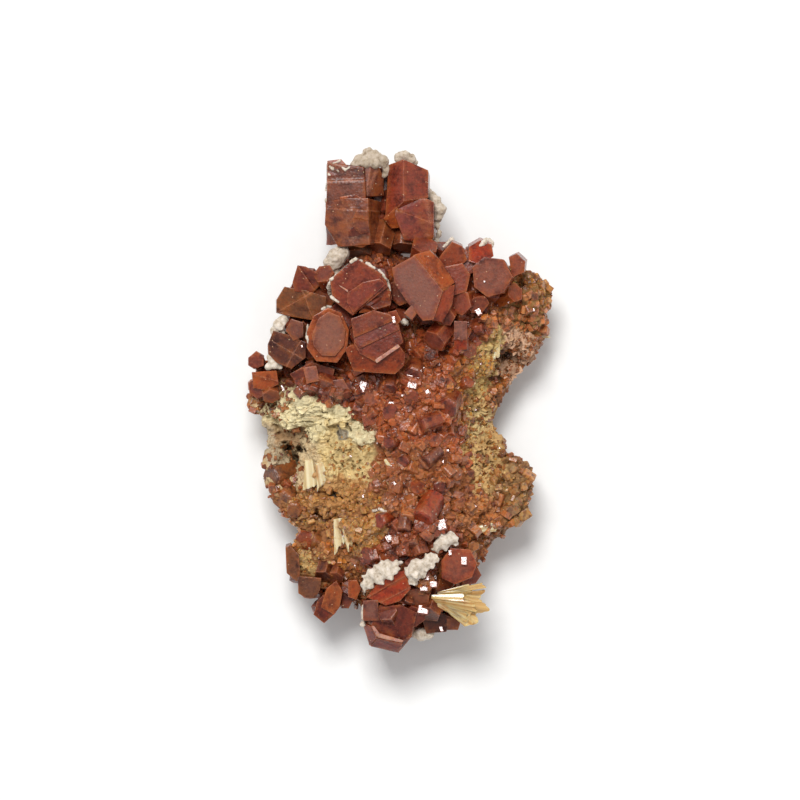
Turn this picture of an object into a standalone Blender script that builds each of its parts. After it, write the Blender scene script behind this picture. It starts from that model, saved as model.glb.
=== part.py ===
"""Vanadinite on matrix: a rough slab of brown rock, lying on its flat back, with clusters of stout
hexagonal crystals, a drusy crust, a fan of barite blades and lumps of white crust on its upper side.

+Z is up and +Y is the crown end. The origin is below the middle, where the specimen rests.
Tables are in millimetres and degrees, and MM turns them into metres where a mesh is made.
"""

import math
import random
from collections import namedtuple

import bmesh
import bpy
from mathutils import Matrix, Vector, noise

MM = 0.001
GAP = 0.3  # between neighbouring solids

# A crystal is a hexagonal prism. tip is the middle of its outer end, across is measured from corner to
# corner and long along the axis. The axis leans from upright, towards a compass angle from +X. spin turns
# the corners about the axis, flat squashes the hexagon in the direction of the lean, and steps is the
# number of growth layers that rise on the outer end, or that sink into it where it is negative.
Crystal = namedtuple("Crystal", "tip across long lean towards spin flat steps", defaults=(0, 1.0, 0))
Bump = namedtuple("Bump", "x y radius height")
# A bud is a small crystal of the drusy crust, which stands rise out of the crust at (x, y).
Bud = namedtuple("Bud", "x y across rise lean towards spin")
# A lump is a ball of crust with its own half sizes, turned about Z.
Lump = namedtuple("Lump", "name at size turn")

# ---------------------------------------------------------------- the rock
ROCK_OUTLINE = [
    (-8.8, 22.3), (-8.3, 23.3), (-7.0, 25.5), (-2.2, 26.2), (-0.6, 23.3), (6.4, 22.3),
    (11.2, 22.3), (16.8, 21.0), (20.0, 21.8), (22.6, 20.2), (23.5, 18.5), (24.5, 17.2),
    (24.3, 15.8), (23.5, 14.3), (22.9, 12.2), (22.6, 9.8), (22.1, 7.4), (19.8, 5.7), (19.0, 2.8),
    (16.5, 2.6), (16.0, 0.2), (14.4, -2.0), (14.6, -4.2), (15.8, -7.1), (16.5, -9.4),
    (18.6, -10.3), (20.8, -11.6), (21.3, -13.2), (20.2, -15.1), (20.8, -17.2), (19.8, -18.6),
    (17.9, -19.6), (17.3, -21.5), (14.4, -22.6), (13.3, -24.1), (12.5, -26.2), (11.2, -29.4),
    (8.8, -33.7), (4.8, -36.2), (-0.8, -37.4), (-5.1, -34.6), (-7.7, -31.4), (-11.2, -30.5),
    (-14.7, -29.4), (-17.1, -27.0), (-17.4, -23.4), (-16.2, -20.7), (-17.6, -19.3),
    (-17.9, -17.7), (-19.0, -16.6), (-20.0, -14.2), (-20.8, -11.0), (-21.1, -7.8), (-22.1, -4.6),
    (-22.9, -1.0), (-24.5, 1.0), (-24.3, 3.1), (-22.1, 4.7), (-18.9, 8.2), (-17.3, 12.2),
    (-16.0, 16.2), (-12.8, 19.4),
]
RIM_TOP = 9.5  # height of the upper edge of the rim
RIM_BACK = 5.0  # height of its lower edge
PLATEAU = 15.5  # height of the upper side, in from the rim
SHOULDER_RUN = 8.0  # how far in the upper side keeps rising
BACK_RUN = 7.0  # how far in the back reaches the resting face
BACK_DEPTH = 1.6  # ground off the back's middle, which leaves the resting face
UNDERCUT = 0.07  # share by which the sides draw in towards the back
GROUND_BLOCK = (100, 100, 20)  # cut away below the resting face
ROCK_VOXEL = 1.3
ROCK_TRIANGLES = 1500
ROCK_NOISE = [(7.0, 1.7), (2.6, 0.9)]  # (spacing, height) of its roughness
SIDE_ROUGHNESS = 1.7  # how much rougher the sides and back are
SIDE_FADE = 3.0  # height below the rim over which they become so

# Rises and hollows of the upper side.
ROCK_BUMPS = [
    Bump(-4.5, 23.0, 5.0, 4.0),  # the crown's seat
    Bump(-5.6, 12.0, 8.0, 3.4),  # under the great crystals
    Bump(9.0, 18.5, 8.0, 3.0),  # right shoulder
    Bump(-14.0, 0.5, 5.0, 1.2),  # left ledge
    Bump(-17.0, 10.0, 5.0, 2.0),  # under the dark block
    Bump(0.0, 0.0, 6.5, 2.6),  # ridge under the druse, in three
    Bump(2.4, -8.0, 6.5, 2.6),
    Bump(1.6, -19.0, 6.5, 2.4),
    Bump(-16.0, -6.0, 4.0, -1.6),  # pale hollow
    Bump(-17.5, -8.2, 1.5, -3.2),  # dark pit
    Bump(-12.0, -2.7, 1.3, -2.6),  # hole below the ledge
    Bump(-12.8, -18.5, 1.6, -2.6),  # hollow in the ochre
    Bump(17.2, 6.6, 1.8, -2.6),  # cavity on the right
    Bump(12.8, -6.2, 4.5, -1.5),  # right slope
    Bump(0.0, -32.0, 6.0, 2.4),  # the foot's seat
    Bump(9.0, -25.0, 4.0, 1.6),
    Bump(-13.0, -29.0, 4.0, 1.0),
]

# Rough crystals and knobs of the rim, grown into the rock.
ROCK_SPURS = [
    Crystal((21.9, 19.0, 12.4), 3.4, 5.0, 40, 30),  # upper right rim
    Crystal((23.0, 15.8, 11.6), 3.0, 5.0, 55, 10),
    Crystal((20.5, 16.4, 14.6), 3.4, 5.0, 20, 70),
    Crystal((22.2, 13.2, 11.8), 3.2, 5.0, 50, 340),
    Crystal((20.8, 9.0, 12.2), 3.6, 5.0, 45, 0),
    Crystal((18.4, -11.6, 13.0), 4.2, 6.0, 35, 60),  # lower right rim
    Crystal((20.2, -13.8, 11.6), 3.6, 6.0, 55, 10),
    Crystal((19.0, -17.0, 12.0), 4.2, 6.0, 45, 330),
    Crystal((16.8, -19.2, 12.2), 3.4, 6.0, 40, 290),
    Crystal((15.4, -20.8, 11.0), 3.6, 6.0, 50, 280),
    Crystal((-21.1, -9.2, 11.2), 3.4, 5.0, 50, 170),  # left rim
    Crystal((-21.2, -12.6, 10.4), 3.8, 5.0, 60, 190),
    Crystal((-19.8, -15.0, 11.0), 3.4, 5.0, 45, 220),
    Crystal((-18.2, -17.0, 11.4), 3.6, 5.0, 50, 200),
    Crystal((-23.4, -0.6, 11.6), 3.2, 5.0, 55, 200),
]

# ---------------------------------------------------------------- the crystals
CROWN = [
    Crystal((-8.0, 38.4, 15.2), 9.4, 5.6, 86, 92, 42, 0.8),  # left block, upper
    Crystal((-8.3, 33.0, 15.6), 9.9, 8.4, 86, 92, 42, 0.84),  # left block, lower
    Crystal((-7.2, 23.6, 14.2), 6.7, 4.6, 78, 258, 24, 0.85),  # left foot
    Crystal((-6.4, 26.4, 17.6), 3.8, 3.2, 72, 262, 30),  # left knob
    Crystal((-4.1, 38.5, 13.2), 4.9, 7.3, 84, 88, 25),  # dark back
    Crystal((-2.7, 35.6, 12.0), 7.4, 9.4, 84, 95, 8, 0.8),  # crevice
    Crystal((0.4, 29.0, 16.8), 8.7, 8.8, 66, 262, 0, 0.92, -1),  # right block, upper
    Crystal((2.5, 25.0, 15.2), 7.6, 8.2, 80, 266, 10, 0.95),  # right block, lower
    Crystal((-1.9, 27.9, 17.0), 4.2, 4.0, 58, 250),  # orange knob
    Crystal((-3.4, 23.2, 16.6), 4.0, 4.5, 62, 255),  # neck hexagon
    Crystal((0.8, 23.4, 14.1), 6.1, 4.2, 75, 265, 20),  # right neck
    Crystal((-6.6, 22.2, 14.1), 4.5, 4.2, 70, 260),  # left neck
]
SHOULDER = [
    Crystal((-6.2, 18.9, 25.0), 10.2, 9.1, 20, 100, 4, 0.88, -1),  # back hexagon
    Crystal((-10.8, 10.5, 24.1), 9.0, 7.7, 16, 0, 30, 0.74, 1),  # left hexagon
    Crystal((-4.4, 10.9, 24.6), 9.8, 8.0, 31, 108, 2, 0.9),  # front block
    Crystal((-4.7, 12.0, 25.8), 7.6, 6.0, 31, 108, 2, 0.9, 1),  # its upper layers
    Crystal((-3.0, 16.6, 22.2), 5.8, 6.2, 30, 80),  # under the hexagon
    Crystal((1.0, 17.0, 21.0), 4.5, 6.2, 20, 60),  # in the gap
    Crystal((0.0, 13.6, 23.6), 2.9, 5.0, 30, 60),  # beside the block
    Crystal((3.0, 17.9, 25.2), 10.9, 6.7, 28, 215, 12, 0.8, 1),  # great plate
    Crystal((4.4, 13.8, 22.8), 4.5, 5.3, 28, 240),  # plate foot
    Crystal((7.3, 21.3, 22.1), 5.4, 6.2, 35, 40),  # behind the plate
    Crystal((8.4, 25.6, 18.9), 5.1, 5.4, 62, 78),  # crest
    Crystal((13.0, 25.2, 18.4), 4.4, 5.8, 62, 88),  # red point
    Crystal((14.7, 19.8, 21.7), 7.6, 6.2, 22, 60, 0, 0.9, 1),  # pink plate
    Crystal((9.4, 20.4, 21.8), 7.0, 8.2, 30, 110, 20),  # broad mass
    Crystal((11.5, 15.9, 20.7), 5.4, 6.2, 25, 200),  # under the plate
    Crystal((18.4, 22.4, 16.1), 3.2, 5.3, 40, 80),  # edge hexagon
    Crystal((7.8, 16.2, 21.6), 4.8, 6.2, 20, 160),  # mass foot
]
LEFT_SHOULDER = [
    Crystal((-15.8, 18.0, 18.6), 5.1, 6.7, 26, 240),  # top hexagon
    Crystal((-15.9, 15.9, 17.5), 6.7, 5.3, 50, 215),  # yellow stack, upper
    Crystal((-17.8, 14.1, 16.9), 6.5, 5.3, 50, 215),  # yellow stack, lower
    Crystal((-18.0, 7.2, 18.4), 7.2, 8.6, 42, 235, 15),  # dark block
    Crystal((-21.0, 8.6, 15.2), 3.2, 4.2, 60, 190),  # dark side
    Crystal((-16.8, 12.0, 21.0), 3.9, 5.0, 32, 60),  # pink cap
]
LEFT_EDGE = [
    Crystal((-23.1, 7.0, 13.8), 3.4, 5.0, 30, 120),  # tail hexagon
    Crystal((-21.3, 1.9, 14.7), 4.8, 5.0, 55, 262),  # orange block
    Crystal((-23.0, 1.0, 13.8), 3.5, 5.0, 40, 210),  # lower block
]
LOWER_LEFT = [
    Crystal((-17.3, -28.9, 10.4), 3.4, 6.1, 75, 265, 30),  # side prism
    Crystal((-14.7, -31.2, 11.7), 4.8, 5.1, 65, 262),  # dark hexagon
    Crystal((-13.0, -34.9, 12.4), 4.2, 7.4, 68, 232, 30),  # long prism
    Crystal((-9.1, -33.2, 10.5), 3.5, 4.2, 70, 255),  # short prism
    Crystal((-7.2, -29.9, 15.1), 3.4, 5.8, 15, 90),  # eye hexagon
    Crystal((-9.0, -28.1, 9.4), 6.4, 4.8, 80, 20),  # root
]
FOOT = [
    Crystal((-1.8, -28.3, 19.0), 7.4, 6.2, 38, 118, 0, 0.9),  # red slab
    Crystal((-4.7, -31.4, 15.7), 5.1, 3.8, 86, 90, 30, 0.9),  # pink prism
    Crystal((-3.0, -33.3, 16.3), 8.8, 6.7, 40, 100, 8, 0.9),  # great hexagon
    Crystal((-0.7, -31.8, 15.2), 6.4, 7.7, 50, 120),  # dark filling
    Crystal((4.4, -36.0, 13.7), 5.4, 7.2, 50, 250),  # brown block
    Crystal((8.2, -35.9, 11.7), 3.8, 3.5, 60, 290),  # brown edge
]
LOWER_RIGHT = [
    Crystal((8.8, -24.6, 16.8), 5.8, 6.6, 32, 60),  # red block
    Crystal((10.8, -25.1, 17.4), 3.5, 5.0, 25, 60, 10),  # bright block
    Crystal((9.8, -27.6, 15.4), 3.8, 5.0, 45, 250),  # low block
    Crystal((12.4, -23.8, 13.8), 3.6, 5.4, 46, 20),  # edge block
]
CLUSTERS = {  # in the order in which each makes room for those before it
    "shoulder_crystals": SHOULDER,
    "crown_crystals": CROWN,
    "left_shoulder_crystals": LEFT_SHOULDER,
    "left_edge_crystals": LEFT_EDGE,
    "foot_crystals": FOOT,
    "lower_left_crystals": LOWER_LEFT,
    "lower_right_crystals": LOWER_RIGHT,
}

DRUSE_OUTLINE = [
    (-18.4, 4.4), (-16.6, 1.5), (-13.1, -0.1), (-8.8, -1.7), (-5.4, -4.6), (-3.5, -8.1),
    (-2.6, -12.6), (-4.2, -16.6), (-7.0, -20.2), (-8.3, -24.7), (-7.0, -28.9), (-2.2, -30.2),
    (3.2, -30.2), (7.4, -28.2), (11.2, -24.1), (9.9, -20.9), (8.3, -17.7), (9.0, -13.5),
    (10.2, -8.1), (10.2, -3.0), (10.8, 1.0), (13.2, 5.0), (15.4, 9.4), (16.4, 14.0), (15.0, 16.2),
    (11.2, 15.4), (4.8, 13.4), (0.0, 9.8), (-6.4, 4.7), (-12.8, 5.7),
]
BUDS = [
    Bud(-14.7, 3.9, 4.8, 2.0, 25, 120, 0),  # pale-faced block
    Bud(-9.9, 2.2, 3.5, 1.6, 20, 80, 20),  # pink block
    Bud(-11.5, 0.6, 2.9, 0.8, 30, 250, 10),
    Bud(1.9, 4.1, 3.8, 1.6, 20, 80, 0),  # glinting block
    Bud(-1.6, 1.8, 2.9, 1.2, 30, 260, 15),
    Bud(4.8, 7.9, 2.9, 1.6, 25, 60, 0),
    Bud(9.6, 11.4, 3.2, 2.2, 50, 90, 0),  # upright prism
    Bud(6.9, 10.2, 3.2, 1.4, 20, 200, 20),
    Bud(13.1, 14.3, 2.9, 1.8, 20, 60, 0),
    Bud(11.2, 7.9, 2.9, 0.8, 25, 300, 0),
    Bud(7.7, 6.3, 3.2, 0.9, 25, 120, 0),
    Bud(-1.6, -1.8, 3.2, 1.4, 15, 240, 0),
    Bud(7.2, -1.4, 4.5, 1.4, 15, 40, 0),  # rounded crystal
    Bud(1.9, 0.6, 2.9, 1.2, 20, 300, 0),
    Bud(-1.9, -6.6, 2.4, 1.2, 20, 180, 0),
    Bud(5.6, -6.2, 2.6, 1.5, 20, 30, 0),
    Bud(3.2, -3.8, 3.2, 1.1, 25, 200, 0),
    Bud(4.0, -9.7, 2.9, 1.0, 30, 220, 0),
    Bud(0.3, -9.7, 2.6, 1.0, 20, 120, 0),
    Bud(-0.8, -13.0, 2.6, 1.1, 20, 210, 0),
    Bud(2.9, -13.5, 3.2, 1.1, 25, 60, 0),
    Bud(6.4, -13.8, 2.6, 0.9, 25, 300, 0),
    Bud(-1.4, -16.2, 2.4, 1.3, 10, 0, 0),  # small hexagon
    Bud(-3.5, -19.1, 3.2, 1.2, 20, 200, 0),
    Bud(4.0, -19.0, 4.3, 1.8, 20, 100, 0),  # dark red crystal
    Bud(0.6, -20.7, 2.7, 1.8, 70, 92, 30),  # standing prism
    Bud(6.4, -19.9, 2.4, 1.8, 15, 40, 0),
    Bud(1.9, -23.4, 3.8, 1.6, 30, 260, 0),  # low block
    Bud(-5.4, -24.7, 3.2, 1.4, 20, 200, 0),  # hexagon
    Bud(4.0, -28.6, 3.5, 1.8, 20, 60, 0),  # glinting block
    Bud(9.3, 0.2, 2.9, 0.6, 30, 20, 0),
    Bud(11.2, 3.4, 2.9, 0.6, 30, 20, 0),
]
BUD_SPACING = 3.7  # between the small crystals that fill the crust
BUD_SIZES = (3.0, 4.4)
BUD_LEANS = (8, 40)
BUD_ROOM = 0.62  # share of the spacing and of a listed bud's breadth that a filling crystal keeps clear
BUD_SEED = 11
BUD_LONG = 4.0
BUD_JITTER = 0.3  # how far a filling crystal may stand off its grid point, as a share of the spacing
BUD_RISES = (0.3, 1.1)
DRUSE_DEPTH = 1.0  # of the crust under its crystals
DRUSE_SINK = 1.5  # how far it starts inside the rock, which then cuts it back
DRUSE_VOXEL = 2.0
DRUSE_TRIANGLES = 320

BEVEL_SHARE = 0.035  # width of a crystal's blunted edges, as a share of its breadth
BEVEL_LEAST_ACROSS = 6.0  # smaller crystals keep sharp edges
STEP_IN = 0.09  # inset of each growth layer, as a share of the breadth
STEP_SLOPE = 0.01  # width over which each layer rises, as a share of the breadth
STEP_UP = 0.05  # height of each growth layer, as a share of the breadth
CORNER_TO_FLAT = math.cos(math.radians(30))

# ---------------------------------------------------------------- white crusts and barite
CRUSTS = [
    Lump("crown_cap", (-4.8, 38.6, 17.4), (3.1, 2.0, 2.4), 0),
    Lump("crown_right_cap", (0.9, 38.9, 15.6), (1.8, 1.2, 1.9), 10),
    Lump("crown_side", (5.9, 30.4, 14.2), (1.3, 4.4, 2.0), 6),
    Lump("neck", (-10.4, 22.4, 17.0), (2.2, 2.2, 2.6), 30),
    Lump("left_upper", (-19.7, 12.2, 18.3), (1.7, 1.8, 2.0), 0),
    Lump("left_lower", (-20.2, 6.2, 17.0), (1.9, 1.5, 1.8), 0),
    Lump("lower_middle", (-2.9, -26.4, 19.2), (3.2, 2.0, 1.7), 20),
    Lump("lower_right", (3.6, -26.3, 20.6), (2.9, 1.9, 1.7), 40),
    Lump("lower_cap", (7.4, -22.2, 18.6), (2.1, 1.7, 1.5), 20),
    Lump("foot", (3.7, -37.4, 12.6), (2.0, 1.3, 1.8), 10),
]
CRUST_NOISE = (1.6, 0.45)  # (spacing, height) of its roughness

FAN_ROOT = (5.6, -30.6, 15.6)
FAN_BLADES = 7
FAN_TURNS = (8, -58)  # compass angles of the first and last blade
FAN_LONG = (8.6, 6.8)
FAN_WIDE = 2.6
FAN_THICK = 0.7
FAN_RISE = 2  # slope of the blades
FAN_ROLL = 38  # how far they lie on their sides, in turn left and right
FAN_ROOT_SIZE = 1.4
FAN_SPREAD = 1.6  # how far apart the first and last blade start
FAN_STAGGER = 0.11  # step in height between blades, which repeats every third blade

# Linear colour and roughness of each finish.
ROCK_FINISH = ((0.36, 0.23, 0.13), 0.85)
CRYSTAL_FINISH = ((0.25, 0.06, 0.03), 0.3)
DRUSE_FINISH = ((0.3, 0.09, 0.04), 0.35)
BARITE_FINISH = ((0.62, 0.5, 0.28), 0.5)
CRUST_FINISH = ((0.72, 0.66, 0.56), 0.9)


def smooth(t):
    """0 to 1 with level ends."""
    t = min(max(t, 0.0), 1.0)
    return t * t * (3 - 2 * t)


def distance_to_segment(point, start, end):
    along = end - start
    t = min(max((point - start).dot(along) / along.dot(along), 0.0), 1.0)
    return (point - start - along * t).length


def distance_to_outline(x, y, outline):
    point = Vector((x, y))
    corners = [Vector(corner) for corner in outline]
    return min(
        distance_to_segment(point, start, end)
        for start, end in zip(corners, corners[1:] + corners[:1])
    )


def inside(x, y, outline):
    """True where a ray towards +X crosses the outline an odd number of times."""
    odd = False
    for (ax, ay), (bx, by) in zip(outline, outline[1:] + outline[:1]):
        if (ay > y) != (by > y) and x < ax + (y - ay) / (by - ay) * (bx - ax):
            odd = not odd
    return odd


def roughness(x, y, z=0.0):
    return sum(
        height * noise.noise(Vector((x, y, z)) / spacing)
        for spacing, height in ROCK_NOISE
    )


def upper_side(x, y):
    """Height of the rock's upper side in millimetres."""
    inward = distance_to_outline(x, y, ROCK_OUTLINE)
    level = RIM_TOP + (PLATEAU - RIM_TOP) * smooth(inward / SHOULDER_RUN) + roughness(x, y)
    for bump in ROCK_BUMPS:
        off = math.hypot(x - bump.x, y - bump.y) / bump.radius
        level += bump.height * math.exp(-off * off)
    return level


def back_side(x, y):
    """Height of the rock's back, below 0 where it is ground flat."""
    inward = distance_to_outline(x, y, ROCK_OUTLINE)
    return RIM_BACK - (RIM_BACK + BACK_DEPTH) * smooth(inward / BACK_RUN)


# ---------------------------------------------------------------- Blender helpers
def new_object(name, mesh):
    obj = bpy.data.objects.new(name, mesh)
    bpy.context.scene.collection.objects.link(obj)
    return obj


def mesh_from(name, draft):
    """Turns a bmesh in millimetres into a mesh in metres, with its faces pointing out."""
    bmesh.ops.recalc_face_normals(draft, faces=draft.faces)
    if draft.calc_volume(signed=True) < 0:
        bmesh.ops.reverse_faces(draft, faces=draft.faces)
    bmesh.ops.scale(draft, vec=(MM, MM, MM), verts=draft.verts)
    mesh = bpy.data.meshes.new(name)
    draft.to_mesh(mesh)
    draft.free()
    return mesh


def apply_modifiers(obj):
    bpy.context.view_layer.update()
    graph = bpy.context.evaluated_depsgraph_get()
    mesh = bpy.data.meshes.new_from_object(obj.evaluated_get(graph))
    obj.modifiers.clear()
    obj.data = mesh


def combine(obj, operation, operands):
    """Unites obj with the operands or cuts them from it, and removes them."""
    if not operands:
        return
    group = bpy.data.collections.new("Operands")
    for operand in operands:
        group.objects.link(operand)
    modifier = obj.modifiers.new(operation.title(), "BOOLEAN")
    modifier.operation = operation
    modifier.solver = "EXACT"
    modifier.operand_type = "COLLECTION"
    modifier.collection = group
    apply_modifiers(obj)
    for operand in operands:
        bpy.data.objects.remove(operand)
    bpy.data.collections.remove(group)


def keep_largest_body(obj):
    """Drops the chips that a cut leaves beside the main body."""
    mesh = bmesh.new()
    mesh.from_mesh(obj.data)
    left = set(mesh.faces)
    bodies = []
    while left:
        body = [left.pop()]
        for face in body:
            for edge in face.edges:
                for other in edge.link_faces:
                    if other in left:
                        left.remove(other)
                        body.append(other)
        bodies.append(body)
    bodies.sort(key=lambda body: sum(face.calc_area() for face in body))
    for body in bodies[:-1]:
        bmesh.ops.delete(mesh, geom=body, context="FACES")
    mesh.to_mesh(obj.data)
    mesh.free()


def settle(obj, parent):
    """Puts obj's origin in the middle of its box, and obj under its parent."""
    places = [vertex.co for vertex in obj.data.vertices]
    low = Vector([min(place[axis] for place in places) for axis in range(3)])
    high = Vector([max(place[axis] for place in places) for axis in range(3)])
    middle = (low + high) / 2
    obj.data.transform(Matrix.Translation(-middle))
    obj.location = middle
    obj.parent = parent


def paint(obj, name, finish):
    """Gives obj its own plain material."""
    colour, dullness = finish
    material = bpy.data.materials.new(name)
    material.use_nodes = True
    shader = material.node_tree.nodes["Principled BSDF"]
    shader.inputs["Base Color"].default_value = (*colour, 1.0)
    shader.inputs["Roughness"].default_value = dullness
    shader.inputs["Metallic"].default_value = 0.0
    obj.data.materials.clear()
    obj.data.materials.append(material)


# ---------------------------------------------------------------- crystals
def crystal_matrix(crystal, out=0.0):
    """Places a crystal whose outer end lies at z = 0 and whose body runs down -Z."""
    turn = Matrix.Rotation(math.radians(crystal.towards), 4, "Z")
    turn @= Matrix.Rotation(math.radians(crystal.lean), 4, "Y")
    tip = Vector(crystal.tip) + turn @ Vector((0, 0, out))
    return Matrix.Translation(tip) @ turn


def crystal_object(crystal, grow=0.0):
    """A crystal as a solid. A grown one is a plain prism that stands grow outside it all round."""
    draft = bmesh.new()
    radius = crystal.across / 2 + grow / CORNER_TO_FLAT
    squash = min(crystal.flat + 2 * grow / crystal.across, 1.0)
    corners = []
    for number in range(6):
        angle = math.radians(60 * number + crystal.spin)
        x = radius * math.cos(angle) * squash
        y = radius * math.sin(angle)
        corners.append(draft.verts.new((x, y, 0)))
    outer = draft.faces.new(corners)
    low = bmesh.ops.extrude_face_region(draft, geom=[outer], use_keep_orig=True)
    moved = [item for item in low["geom"] if isinstance(item, bmesh.types.BMVert)]
    bmesh.ops.translate(draft, vec=(0, 0, -crystal.long - 2 * grow), verts=moved)
    if not grow:
        finish_crystal(draft, outer, crystal)
    draft.transform(crystal_matrix(crystal, grow))
    return new_object("Crystal", mesh_from("Crystal", draft))


def finish_crystal(draft, outer, crystal):
    """Adds the growth layers of the outer end and blunts the edges of the larger crystals."""
    rim = list(outer.edges)
    ends = set(outer.verts)
    upright = [edge for edge in draft.edges if edge not in rim and ends & set(edge.verts)]
    way = 1 if crystal.steps > 0 else -1
    if way > 0:
        drop = STEP_UP * crystal.across * crystal.steps
        bmesh.ops.translate(draft, vec=(0, 0, -drop), verts=outer.verts)
    for _ in range(abs(crystal.steps)):
        for share in (STEP_IN, STEP_SLOPE):
            inset = share * crystal.across
            bmesh.ops.inset_region(draft, faces=[outer], thickness=inset, use_even_offset=True)
        bmesh.ops.translate(draft, vec=(0, 0, way * STEP_UP * crystal.across), verts=outer.verts)
    if crystal.across >= BEVEL_LEAST_ACROSS:
        bmesh.ops.bevel(
            draft,
            geom=rim + upright,
            offset=BEVEL_SHARE * crystal.across,
            segments=1,
            profile=0.5,
            affect="EDGES",
        )


def cluster(name, crystals):
    """Crystals grown together, as one solid."""
    obj, *others = [crystal_object(crystal) for crystal in crystals]
    combine(obj, "UNION", others)
    obj.name = name
    return obj


def near(crystal, obj):
    """True where the crystal comes within reach of obj's box."""
    reach = crystal.across + crystal.long
    for axis in range(3):
        places = [vertex.co[axis] / MM for vertex in obj.data.vertices]
        if not min(places) - reach < crystal.tip[axis] < max(places) + reach:
            return False
    return True


def make_room(obj, crystals, cores):
    """Cuts from obj the space of earlier crystals and cores, each grown by the gap."""
    cutters = [grown_copy(core) for core in cores]
    cutters += [crystal_object(crystal, GAP) for crystal in crystals if near(crystal, obj)]
    for cutter in cutters:
        combine(obj, "DIFFERENCE", [cutter])
    keep_largest_body(obj)


# ---------------------------------------------------------------- rock
def relief_slab(name, outline, lower, upper, voxel, thick, undercut=0.0):
    """A solid over the outline between two height functions of x and y."""
    draft = bmesh.new()
    base = draft.faces.new([draft.verts.new((x, y, 0)) for x, y in outline])
    raised = bmesh.ops.extrude_face_region(draft, geom=[base], use_keep_orig=True)
    moved = [item for item in raised["geom"] if isinstance(item, bmesh.types.BMVert)]
    bmesh.ops.translate(draft, vec=(0, 0, thick), verts=moved)
    obj = new_object(name, mesh_from(name, draft))
    remesh = obj.modifiers.new("Remesh", "REMESH")
    remesh.mode = "VOXEL"
    remesh.voxel_size = voxel * MM
    apply_modifiers(obj)
    for vertex in obj.data.vertices:
        x, y, z = vertex.co / MM
        share = min(max(z / thick, 0.0), 1.0)
        low, high = lower(x, y), upper(x, y)
        narrower = 1 - undercut * (1 - share)
        vertex.co = Vector((x * narrower, y * narrower, low + (high - low) * share)) * MM
    return obj


def thin_out(obj, triangles):
    decimate = obj.modifiers.new("Decimate", "DECIMATE")
    decimate.ratio = triangles / (2 * len(obj.data.polygons))
    apply_modifiers(obj)


def make_rock_core():
    """The rock without its spurs, and before its back is ground flat."""
    core = relief_slab(
        "Rock core", ROCK_OUTLINE, back_side, upper_side, ROCK_VOXEL, PLATEAU, UNDERCUT
    )
    shake_sides(core)
    thin_out(core, ROCK_TRIANGLES)
    return core


def make_rock(core):
    obj = new_object("matrix", core.data.copy())
    combine(obj, "UNION", [crystal_object(spur) for spur in ROCK_SPURS])
    grind_flat(obj)
    return obj


def shake_sides(obj):
    """Roughens the sides and back along their normals, and leaves the upper edge where it is."""
    normals = [vertex.normal.copy() for vertex in obj.data.vertices]
    for vertex, normal in zip(obj.data.vertices, normals):
        x, y, z = vertex.co / MM
        share = smooth((RIM_TOP - z) / SIDE_FADE)
        vertex.co += normal * SIDE_ROUGHNESS * share * roughness(x, y, z) * MM


def grind_flat(obj):
    """Cuts the back off at z = 0, which leaves the face that the specimen rests on."""
    draft = bmesh.new()
    bmesh.ops.create_cube(draft, size=1)
    bmesh.ops.scale(draft, vec=GROUND_BLOCK, verts=draft.verts)
    bmesh.ops.translate(draft, vec=(0, 0, -GROUND_BLOCK[2] / 2), verts=draft.verts)
    combine(obj, "DIFFERENCE", [new_object("Ground", mesh_from("Ground", draft))])
    keep_largest_body(obj)


def grown_copy(obj):
    """A copy whose surface stands the gap outside obj."""
    copy = new_object("Grown", obj.data.copy())
    normals = [vertex.normal.copy() for vertex in copy.data.vertices]
    for vertex, normal in zip(copy.data.vertices, normals):
        vertex.co += normal * GAP * MM
    return copy


# ---------------------------------------------------------------- drusy crust
def filling_buds():
    """Small crystals on a jittered grid of triangles, wherever no listed bud stands."""
    chance = random.Random(BUD_SEED)
    xs = [x for x, _ in DRUSE_OUTLINE]
    ys = [y for _, y in DRUSE_OUTLINE]
    buds = []
    row = 0
    y = min(ys)
    while y < max(ys):
        x = min(xs) + (row % 2) * BUD_SPACING / 2
        while x < max(xs):
            px = x + chance.uniform(-BUD_JITTER, BUD_JITTER) * BUD_SPACING
            py = y + chance.uniform(-BUD_JITTER, BUD_JITTER) * BUD_SPACING
            bud = Bud(
                px,
                py,
                chance.uniform(*BUD_SIZES),
                chance.uniform(*BUD_RISES),
                chance.uniform(*BUD_LEANS),
                chance.uniform(0, 360),
                chance.uniform(0, 60),
            )
            clear = all(
                math.hypot(px - other.x, py - other.y) > BUD_ROOM * (other.across + BUD_SPACING) / 2
                for other in BUDS
            )
            bare = all(math.dist((px, py), lump.at[:2]) > max(lump.size) for lump in CRUSTS)
            if clear and bare and inside(px, py, DRUSE_OUTLINE):
                buds.append(bud)
            x += BUD_SPACING
        y += BUD_SPACING * CORNER_TO_FLAT
        row += 1
    return buds


def bud_crystal(bud):
    tip = (bud.x, bud.y, upper_side(bud.x, bud.y) + DRUSE_DEPTH + bud.rise)
    return Crystal(tip, bud.across, BUD_LONG, bud.lean, bud.towards, bud.spin)


def make_druse_core():
    """The crust without its crystals, which follows the rock's upper side."""
    core = relief_slab(
        "Druse core",
        DRUSE_OUTLINE,
        lambda x, y: upper_side(x, y) - DRUSE_SINK,
        lambda x, y: upper_side(x, y) + DRUSE_DEPTH,
        DRUSE_VOXEL,
        DRUSE_VOXEL,
    )
    thin_out(core, DRUSE_TRIANGLES)
    return core


def make_druse(core, buds):
    obj = new_object("drusy_crust", core.data.copy())
    combine(obj, "UNION", [crystal_object(bud) for bud in buds])
    return obj


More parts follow.
